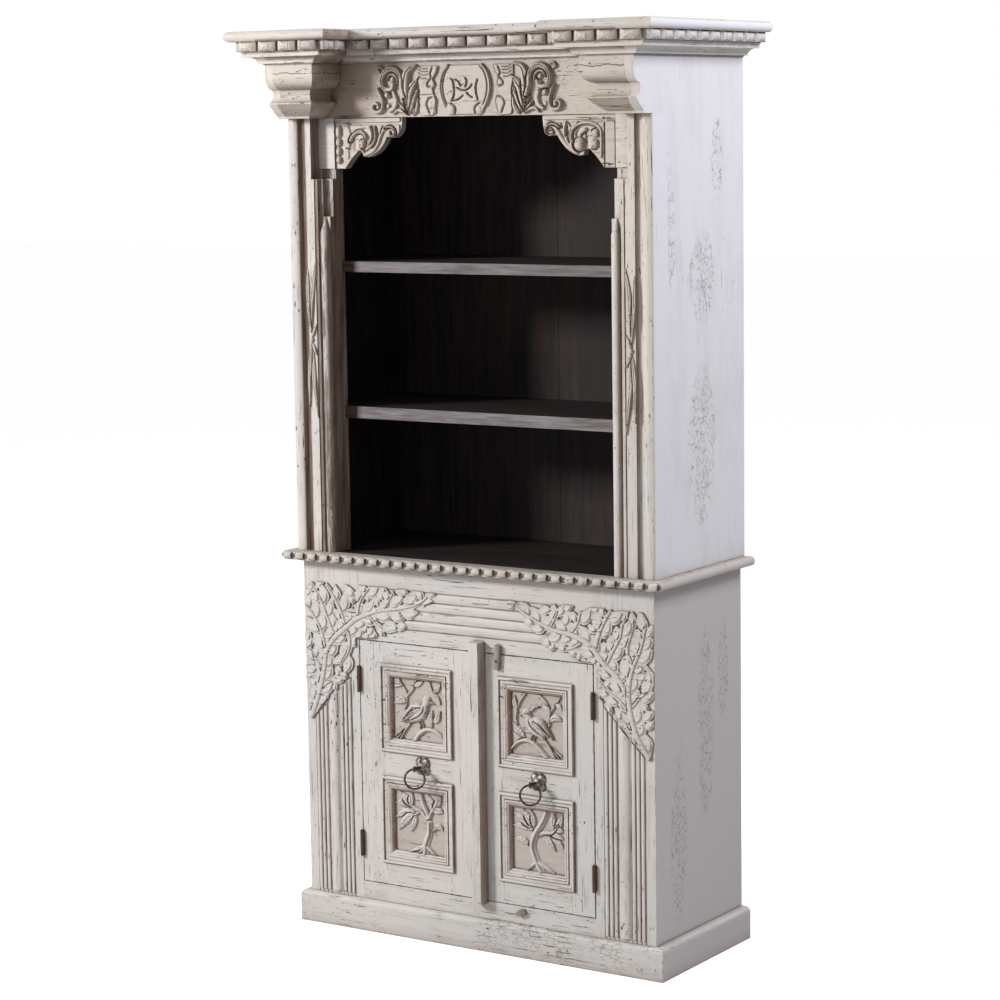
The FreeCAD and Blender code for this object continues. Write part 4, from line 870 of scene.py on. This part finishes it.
def ellipse(finish, first, second, centre, size):
    """One at the centre of a patch, falling to zero at its edge."""
    first = (first - centre[0]) / size[0]
    second = (second - centre[1]) / size[1]
    square = finish.maths("MULTIPLY_ADD", second, second, first * first)
    return (1.0 - square).most(0.0)


def patches(finish):
    """The crackled patches of the side boards."""
    found = 0.0
    for centre, size in side_patches:
        found = ellipse(finish, finish.y, finish.z, centre, size).most(found)
    return (found * finish.noise(17, 3, 0.6)).ramp(0.12, 0.3)


def everywhere(finish):
    """Loose patches all over a board."""
    return finish.noise(7).ramp(0.49, 0.57)


def reed_lines(finish, streak):
    """Dark brown in the grooves of the reeds, as thin uneven lines: glaze and painted shade."""
    x = abs(finish.x)
    found = 0.0
    for value, reach, reeds in ((finish.z, x < rail_reed_end, rail_reeds),
                                (x, finish.z < stile_reed_top, stile_reeds)):
        for start, pitch, count in reeds:
            for number in range(count):
                off = abs(value - (start + number * pitch))
                found = (off.ramp(0.0028, 0.0008) * reach).most(found)
    found = found * (finish.y * -1.0 > front_face)
    return found * finish.noise((9, 9, 9), 3, 0.6).ramp(0.3, 0.6, (0.35, 0.95))


def dentil_low_shade(finish, streak):
    """Speckled brown on the lower half of the dentils: painted shade."""
    low = finish.z.ramp(dentil_top, dentil_bottom, (0.15, 0.8))
    return low * finish.noise(260, 3, 0.7).ramp(0.4, 0.6, (0.2, 0.9))


def bobbin_gaps(finish, streak):
    """Dark brown in the grooves between the bobbins: glaze and painted shade."""
    turn = finish.maths("FRACT", (finish.x + bobbin_end) / bobbin_pitch)
    return abs(turn - 0.5).ramp(0.26, 0.33) * finish.noise(300, 3, 0.7).ramp(0.3, 0.5, (0.7, 1))


def off_middle(value, middles):
    """Distance from the nearer one of two middles that are given in millimetres."""
    first, second = middles.values()
    return abs(value - first * MM).least(abs(value - second * MM))


def frame_lines(finish, streak):
    """Dark brown in the steps of the panel frames, glaze and painted shade, and bare wood on the upper right
    frame.
    """
    across = off_middle(finish.x, field_xs) - field_half[0] * MM
    away = across.most(off_middle(finish.z, field_zs) - field_half[1] * MM)
    found = 0.0
    for step in frame_steps:
        found = abs(away - step).ramp(0.0019, 0.0006).most(found)
    found = found * finish.noise((14, 14, 14), 3, 0.6).ramp(0.35, 0.6, (0.25, 0.85))
    rubbed = ellipse(finish, finish.x, finish.z, *rubbed_frame).ramp(0.1, 0.4)
    return found.most(rubbed * streak.ramp(0.35, 0.5, (0.3, 0.9)))


def left_shade(finish, streak):
    """Painted shadow of the left corbel, brown towards the left end of the frieze, and brown glaze in its
    fine cracks.
    """
    far = finish.x.ramp(*frieze_shade, (0, 0.75))
    return far.most(finish.noise((60, 60, 420), 3, 0.65).ramp(0.56, 0.68) * 0.6)


def crack_line(finish, streak):
    """A long crack across the corbel and stray dark spots."""
    height = finish.z + finish.noise((22, 22, 2), 3, 0.6) * 0.02
    line = abs(height - corbel_crack).ramp(0.0016, 0.0005) * streak.ramp(0.36, 0.42)
    return line.most(finish.noise(75, 2, 0.5).ramp(0.7, 0.74, (0, 0.9)))


def band(value, rising, falling):
    """One inside a band that fades in and out at its limits."""
    return value.ramp(*rising) * value.ramp(*falling)


def jamb_bands(finish, streak):
    """Brown left in the cove and between the fillets, most of all on the left jamb: glaze and painted shade.
    """
    x = abs(finish.x)
    both = band(x, *cove_band).most(band(x, *fillet_band) * 0.85) * finish.x.ramp(-0.1, 0.1, (1, 0.08))
    column = (finish.x < column_inner) * (finish.x > column_outer)
    scratched = finish.noise((60, 60, 9), 4, 0.65).ramp(0.44, 0.58, (0.3, 0.9))
    return both.most(column * scratched) * streak.ramp(0.3, 0.55, (0.7, 1))


def inward(finish):
    """Faces that look towards the middle of the case."""
    return finish.facing[0] * finish.maths("SIGN", finish.x) < -0.7


def backward(finish):
    """Faces that look to the back."""
    return finish.facing[1] > 0.7


def jamb_inside(finish):
    """Faces of a jamb that look into the case."""
    return inward(finish).most(backward(finish))


def waist_inside(finish):
    """The part of the waist board that is the floor of the open case."""
    x = abs(finish.x)
    inside = ((x < opening_side) * (finish.y > opening_front)).most(finish.y > case_front)
    return inside * (finish.z > waist_floor) * (x < case_side)


def by_height(finish, low, high):
    """One colour below the waist and another above it."""
    return finish.mix(finish.z.ramp(waist_bottom, waist_top), low, high)


def cream_coat(finish, streak, cloud):
    """Cream paint that drifts in tone and is brushed along the grain."""
    colour = finish.mix(finish.noise(2.3, 3, 0.5).ramp(0.35, 0.68), by_height(finish, pale, cream), cool)
    colour = finish.mix(cloud.ramp(0.5, 0.76, (0, 0.45)), colour, greyed)
    return finish.mix(streak.ramp(0.5, 0.76, (0, 0.42)), colour, streaked)


def rubbed_edges(finish, shade, depth):
    """Edges where the paint is rubbed off, found by how far a bevel would turn the face."""
    meet = finish.node("VectorMath", {"operation": "DOT_PRODUCT"})
    finish.put(meet.inputs[0], finish.node("Bevel", {"samples": 4}, Radius=0.0024).outputs[0])
    finish.put(meet.inputs[1], finish.node("NewGeometry").outputs["Normal"])
    edge = Value(finish, meet.outputs["Value"]).ramp(0.985, 0.86) * shade.ramp(0.55, 0.9, (0, depth))
    return edge * finish.noise((46, 46, 46), 4, 0.7).ramp(0.5, 0.58)


def chips_and_scratches(finish, axis, edge, wear):
    """The rubbed edges with chips and long scratches; more wear widens their zones."""
    zone = finish.noise(5.5, 3, 0.6)
    chips = finish.noise(grain(axis, 150, 48), 3, 0.6).ramp(0.65, 0.68)
    chips = chips * zone.ramp(0.51 - 0.07 * wear, 0.63 - 0.07 * wear)
    lines = finish.noise(grain(axis, 260, 8), 3, 0.65).ramp(0.62, 0.68)
    lines = lines * zone.ramp(0.46 - 0.08 * wear, 0.62 - 0.08 * wear)
    return edge.most(chips).most(lines)


def painted(name, axis, stain=None, tone=0.0, crackle=0.0, lavender=None, bands=None, where=None, depth=1.0,
            stained_with=(espresso_dark, espresso), turned_shade=0.75, wear=1.0, band_tint=brown, close=0.006):
    """Thick cream paint, rubbed and chipped, with bare edges, brown glaze and painted shade in the recesses,
    brown painted shade on faces that look away from the key light, and painted side light on faces that look
    sideways.
    """
    finish = Finish(name)
    streak = finish.noise(grain(axis, 150, 7), 4, 0.6, 0.3)
    cloud = finish.noise(grain(axis, 16, 5), 4, 0.6)
    colour = cream_coat(finish, streak, cloud)
    sideways = abs(finish.facing[0])
    # Faces that look sideways take the lavender colour: painted light of the cool side lamp, and painted
    # shade where the lower boards take the darker low_side.
    if lavender:
        clouded = finish.mix(cloud.ramp(0.4, 0.75, (0, 0.35)), lavender, side_cloud)
        colour = finish.mix(sideways.ramp(0.75, 0.95), colour, clouded)
    else:
        # Faces that look to +X or downward, away from the key light, grow brown: painted shade.
        away = finish.facing[0].most(finish.facing[2] * -0.8)
        away = away.ramp(0.25, 0.75, (0, turned_shade)) * cloud.ramp(0.3, 0.6, (0.6, 1))
        outermost = abs(finish.x) > cabinet_side
        colour = finish.mix(away * (1.0 - outermost), colour, brown)
        # The outermost faces that look sideways take the side colours: painted side light, darker below the
        # waist as painted shade.
        outer = outermost * sideways.ramp(0.6, 0.9)
        colour = finish.mix(outer, colour, by_height(finish, low_side, high_side))
    if bands is not None:
        colour = finish.mix(bands(finish, streak), colour, band_tint)
    if tone:
        colour = finish.mix(tone, colour, dull)
    shade = finish.close_by(5, close)
    # Small recesses darken to brown: glaze and painted shade.
    recess = shade.ramp(0.8, 0.38, (0, depth)) * finish.noise(38, 4, 0.65).ramp(0.25, 0.6, (0.5, 1))
    # Wide hollows, such as under the cornice, darken to brown: painted shade.
    colour = finish.mix(finish.close_by(4, 0.07).ramp(0.7, 0.25, (0, 0.6 * depth)), colour, brown)
    colour = finish.mix(recess, colour, glaze_and_shade)
    loss = chips_and_scratches(finish, axis, rubbed_edges(finish, shade, depth), wear)
    if lavender:
        loss = loss * 0.5
    else:
        specks = finish.noise(240, 2, 0.5).ramp(0.67, 0.72, (0, 0.8)) * cloud.ramp(0.45, 0.62)
        loss = loss.most(specks) * (1.0 - outer * 0.85)
    height = streak * 0.25 - loss
    if crackle:
        cells = finish.node("TexVoronoi", {"feature": "DISTANCE_TO_EDGE"}, Scale=1,
                            Vector=finish.stretched(grain(axis, 105, 50))).outputs[0]
        bits = finish.noise(45, 3, 0.6).ramp(0.38, 0.5)
        crack = Value(finish, cells).ramp(0.06, 0.02, (0, crackle)) * (where(finish) * bits)
        colour = finish.mix(crack, colour, crack_brown)
        height = height - crack
    colour = finish.mix(loss, colour, bare)
    if stain is not None:
        inner = stain(finish)
        dark, wood = wood_grain(finish, axis, *stained_with)
        colour = finish.mix(inner, colour, dark)
        height = finish.maths("MULTIPLY_ADD", height, 1.0 - inner, wood * 0.3)
    finish.bump(height, 0.0006, 0.9)
    return finish.finish(colour, loss.ramp(0, 1, (0.58, 0.8)), 0.35)


def stained(name, axis, dark, light, rough=0.6):
    """Stained or worn wood with pits along its grain."""
    finish = Finish(name)
    colour, wood = wood_grain(finish, axis, dark, light)
    if light is espresso:
        redder = finish.noise(grain(axis, 22, 1.5), 3, 0.6)
        colour = finish.mix(redder.ramp(0.5, 0.66, (0, 0.5)), colour, reddish)
    pits = finish.noise(grain(axis, 260, 12), 2).ramp(0.68, 0.76) * 0.6
    finish.bump(wood - pits, 0.0007, 0.8)
    return finish.finish(finish.mix(pits, colour, dark), wood.ramp(0.2, 0.8, (rough, rough + 0.2)), 0.3)


def shelf_finish(name):
    """Dark stained board whose front edge is weathered grey, with a redder patch at its left end."""
    finish = Finish(name)
    dark, wood = wood_grain(finish, "x", espresso_dark, espresso)
    grey = wood_grain(finish, "x", tint(92, 84, 84), tint(142, 136, 138), 120, 8)[0]
    red = finish.mix(wood.ramp(0.4, 0.6), tint(52, 36, 34), tint(84, 60, 54))
    grey = finish.mix(finish.x.ramp(*shelf_end), grey, red)
    finish.bump(wood, 0.0008, 0.8)
    return finish.finish(finish.mix(finish.facing[1] < -0.5, dark, grey), 0.7, 0.3)


def iron(name, rust, dark, light, shine=1.0):
    """Forged iron: dark, bright where it is handled, with rust in patches."""
    finish = Finish(name)
    blotch = finish.noise(160, 4, 0.65)
    fine = finish.noise(700, 3, 0.6)
    colour = finish.mix(blotch.ramp(0.38, 0.6), dark, light)
    rusty = finish.noise(210, 5, 0.7).ramp(0.62 - 0.3 * rust, 0.72 - 0.2 * rust)
    stains = finish.mix(fine.ramp(0.35, 0.65), tint(58, 42, 34), tint(112, 86, 68))
    finish.put(finish.shader.inputs["Metallic"], rusty.ramp(0, 1, (shine, 0.1)))
    finish.bump(blotch * 0.7 + fine * 0.3, 0.0007, 0.7)
    return finish.finish(finish.mix(rusty, colour, stains), rusty.ramp(0, 1, (0.52, 0.85)))


door_level_nodes = ("left_door_rails", "right_door_rails", "left_door_mouldings", "right_door_mouldings")

# Each paint: the axis of its grain, how the names of its CAD nodes start, and its settings. Three are for
# the carvings alone, and the last one takes every node that no other paint does.
# Faces that look away from the key light grow brown as painted shade, as much as each paint's setting for
# them gives; lavender paints the side light on faces that look sideways.
paint_table = {
    "upright": ("z", "frame_stile", dict(bands=reed_lines)),
    "rail": ("x", "frame_top_rail", dict(bands=reed_lines, wear=0.7)),
    "plinth": ("x", "plinth_front", dict(crackle=0.6, where=everywhere, wear=0.3)),
    "plinth_side": ("y", "plinth_side", dict(lavender=low_side, wear=0)),
    "deep": ("y", "cornice_side", dict(lavender=high_side)),
    "dentils": ("z", "front_dentils", dict(bands=dentil_low_shade)),
    "side_dentils": ("z", "side_dentils", dict(lavender=high_side, bands=dentil_low_shade)),
    "side": ("z", "upper_side", dict(
        stain=inward, crackle=0.7, lavender=high_side, where=patches, wear=-1)),
    "low_side": ("z", "lower_side", dict(
        stain=inward, crackle=0.7, lavender=low_side, where=patches, wear=-1)),
    "jamb": ("z", ("jamb", "half_column"), dict(
        stain=jamb_inside, bands=jamb_bands, depth=0.5, wear=1.5, band_tint=tint(92, 70, 54),
        stained_with=(tint(98, 80, 74), tint(158, 140, 130)))),
    "door_upright": ("z", ("left_door_stiles", "right_door_stiles", "meeting_batten"), dict(
        stain=backward, wear=1.15)),
    "door_level": ("x", door_level_nodes, dict(
        stain=backward, bands=frame_lines, turned_shade=1.0, band_tint=tint(128, 96, 80), wear=1.1)),
    "panels": ("x", ("left_door_panels", "right_door_panels"), dict(stain=backward, tone=0.42)),
    "waist": ("x", "waist_board", dict(stain=waist_inside, tone=0.3, wear=1.4)),
    "bobbins": ("x", "waist_bobbins", dict(tone=0.2, bands=bobbin_gaps, band_tint=tint(70, 54, 46))),
    # The frieze's duller tone is brown glaze and painted shade under the cornice, and left_shade paints the
    # left corbel's shadow on it.
    "frieze": ("x", "frieze_board", dict(stain=backward, tone=0.35, bands=left_shade)),
    "corbel": ("x", "corbel", dict(tone=0.2, wear=1.7, bands=crack_line, band_tint=bare)),
    "carving": ("x", (), dict(depth=0.95, tone=0.3, close=0.004)),
    "panel_carving": ("x", (), dict(tone=0.1, close=0.005)),
    "tree": ("x", (), dict(tone=0.08, turned_shade=0.35, close=0.0034)),
    "level": ("x", "", {}),
}
paints = {}
for key, (axis, starts, settings) in paint_table.items():
    paints[key] = painted("painted_" + key, axis, **settings)
stained_level = stained("stained_level", "x", espresso_dark, espresso)
bright_iron = iron("bright_iron", 0.0, tint(72, 66, 64), tint(168, 160, 156), 0.85)
unpainted = {
    "stained_wood": stained("stained_wood", "z", espresso_dark, espresso),
    "shelf_wood": shelf_finish("shelf_wood"),
    "worn_wood": stained("worn_wood", "z", tint(104, 92, 82), tint(184, 174, 162), 0.7),
    "aged_iron": iron("aged_iron", 0.3, tint(50, 42, 38), tint(104, 94, 88), 0.7),
    "rusty_iron": iron("rusty_iron", 0.9, tint(60, 46, 40), tint(96, 80, 70)),
}


def finish_of(name, slot):
    """The finish of a CAD node: by its slot where it isn't painted, by its name where it is."""
    if name.endswith("pull_boss"):
        return bright_iron
    if slot == "stained_wood" and not name.endswith("planks"):
        return stained_level
    if slot in unpainted:
        return unpainted[slot]
    return next(paints[key] for key, row in paint_table.items() if name.startswith(row[1]))


for name, piece in nodes.items():
    slots = [slot.material.name.split(".")[0] if slot.material else "" for slot in piece.material_slots]
    slot = next((key for key in slots if key in unpainted), "painted_wood")
    if not piece.material_slots:
        piece.data.materials.append(None)
    for place in piece.material_slots:
        place.material = finish_of(name, slot)

carvings = (
    ("carving", frieze_carving()),
    ("carving", bracket_carving("bracket_left_carving", -1)),
    ("carving", bracket_carving("bracket_right_carving", 1)),
    ("tree", corner_tree("corner_tree_left", -1, left_branches)),
    ("tree", corner_tree("corner_tree_right", 1, right_branches)),
    ("panel_carving", panel("left", "upper", left_bird)),
    ("panel_carving", panel("left", "lower", left_tree)),
    ("panel_carving", panel("right", "upper", right_bird)),
    ("panel_carving", panel("right", "lower", right_tree)),
    ("carving", jamb_motif("jamb_left_carving", -1)),
    ("carving", jamb_motif("jamb_right_carving", 1)),
)
for key, piece in carvings:
    piece.data.materials.clear()
    piece.data.materials.append(paints[key])

# Floor, light and camera

floor_size = 60
floor_glow = 0.72
sky_strength = 0.42


def pale_floor():
    """A pale matt floor that the lights lift to white, with the object's soft shadow on it."""
    finish = Finish("pale_floor")
    seen = Value(finish, finish.node("LightPath").outputs["Is Camera Ray"])
    finish.put(finish.shader.inputs["Emission Color"], (1, 1, 1, 1))
    finish.put(finish.shader.inputs["Emission Strength"], seen * floor_glow)
    return finish.finish((0.6, 0.6, 0.6, 1), 0.9)


floor_mesh = bpy.data.meshes.new("floor")
corners = [(x * floor_size / 2, y * floor_size / 2, 0) for x, y in ((-1, -1), (1, -1), (1, 1), (-1, 1))]
floor_mesh.from_pydata(corners, [], [(0, 1, 2, 3)])
floor = bpy.data.objects.new("floor", floor_mesh)
bpy.context.scene.collection.objects.link(floor)
floor_mesh.materials.append(pale_floor())

world = bpy.data.worlds.new("studio")
bpy.context.scene.world = world
world.use_nodes = True
sky = world.node_tree.nodes["Background"]
sky.inputs["Color"].default_value = (1, 1, 1, 1)
seen = world.node_tree.nodes.new("ShaderNodeLightPath")
lift = world.node_tree.nodes.new("ShaderNodeMapRange")
lift.inputs["To Min"].default_value = sky_strength
world.node_tree.links.new(seen.outputs["Is Camera Ray"], lift.inputs["Value"])
world.node_tree.links.new(lift.outputs[0], sky.inputs["Strength"])


def add_light(name, place, target, size, power, colour):
    """A rectangular area light that looks at its target."""
    data = bpy.data.lights.new(name, "AREA")
    data.shape = "RECTANGLE"
    data.size, data.size_y = size
    data.energy = power
    data.color = colour
    lamp = bpy.data.objects.new(name, data)
    bpy.context.scene.collection.objects.link(lamp)
    lamp.location = place
    aim = Vector(target) - Vector(place)
    lamp.rotation_euler = aim.to_track_quat("-Z", "Y").to_euler()


add_light("key", (-3.3, -3.4, 2.9), (0, 0, 1.15), (0.8, 0.8), 235, (1, 0.985, 0.965))
add_light("side", (2.6, 0.5, 3.3), (0.55, 0, 1.6), (1.2, 1.2), 76, (0.96, 0.97, 1))

# The camera as it was fitted to the photo: place in metres, angles in radians, lens in millimetres
camera_place = Vector((3.5968, -5.4475, 1.9187))
yaw, pitch, roll = 0.58393, 0.13304, -0.01482
lens = 101.70
ahead = Vector((-math.sin(yaw) * math.cos(pitch), math.cos(yaw) * math.cos(pitch), -math.sin(pitch)))
across = Vector((math.cos(yaw), math.sin(yaw), 0))
above = across.cross(ahead)
right = math.cos(roll) * across + math.sin(roll) * above
up = math.cos(roll) * above - math.sin(roll) * across
camera_data = bpy.data.cameras.new("camera")
camera_data.sensor_width = 36
camera_data.lens = lens
camera_data.clip_end = 100
camera = bpy.data.objects.new("camera", camera_data)
bpy.context.scene.collection.objects.link(camera)
camera.matrix_world = Matrix.Translation(camera_place) @ Matrix((right, up, -ahead)).transposed().to_4x4()
bpy.context.scene.camera = camera
bpy.context.scene.view_settings.view_transform = "Standard"
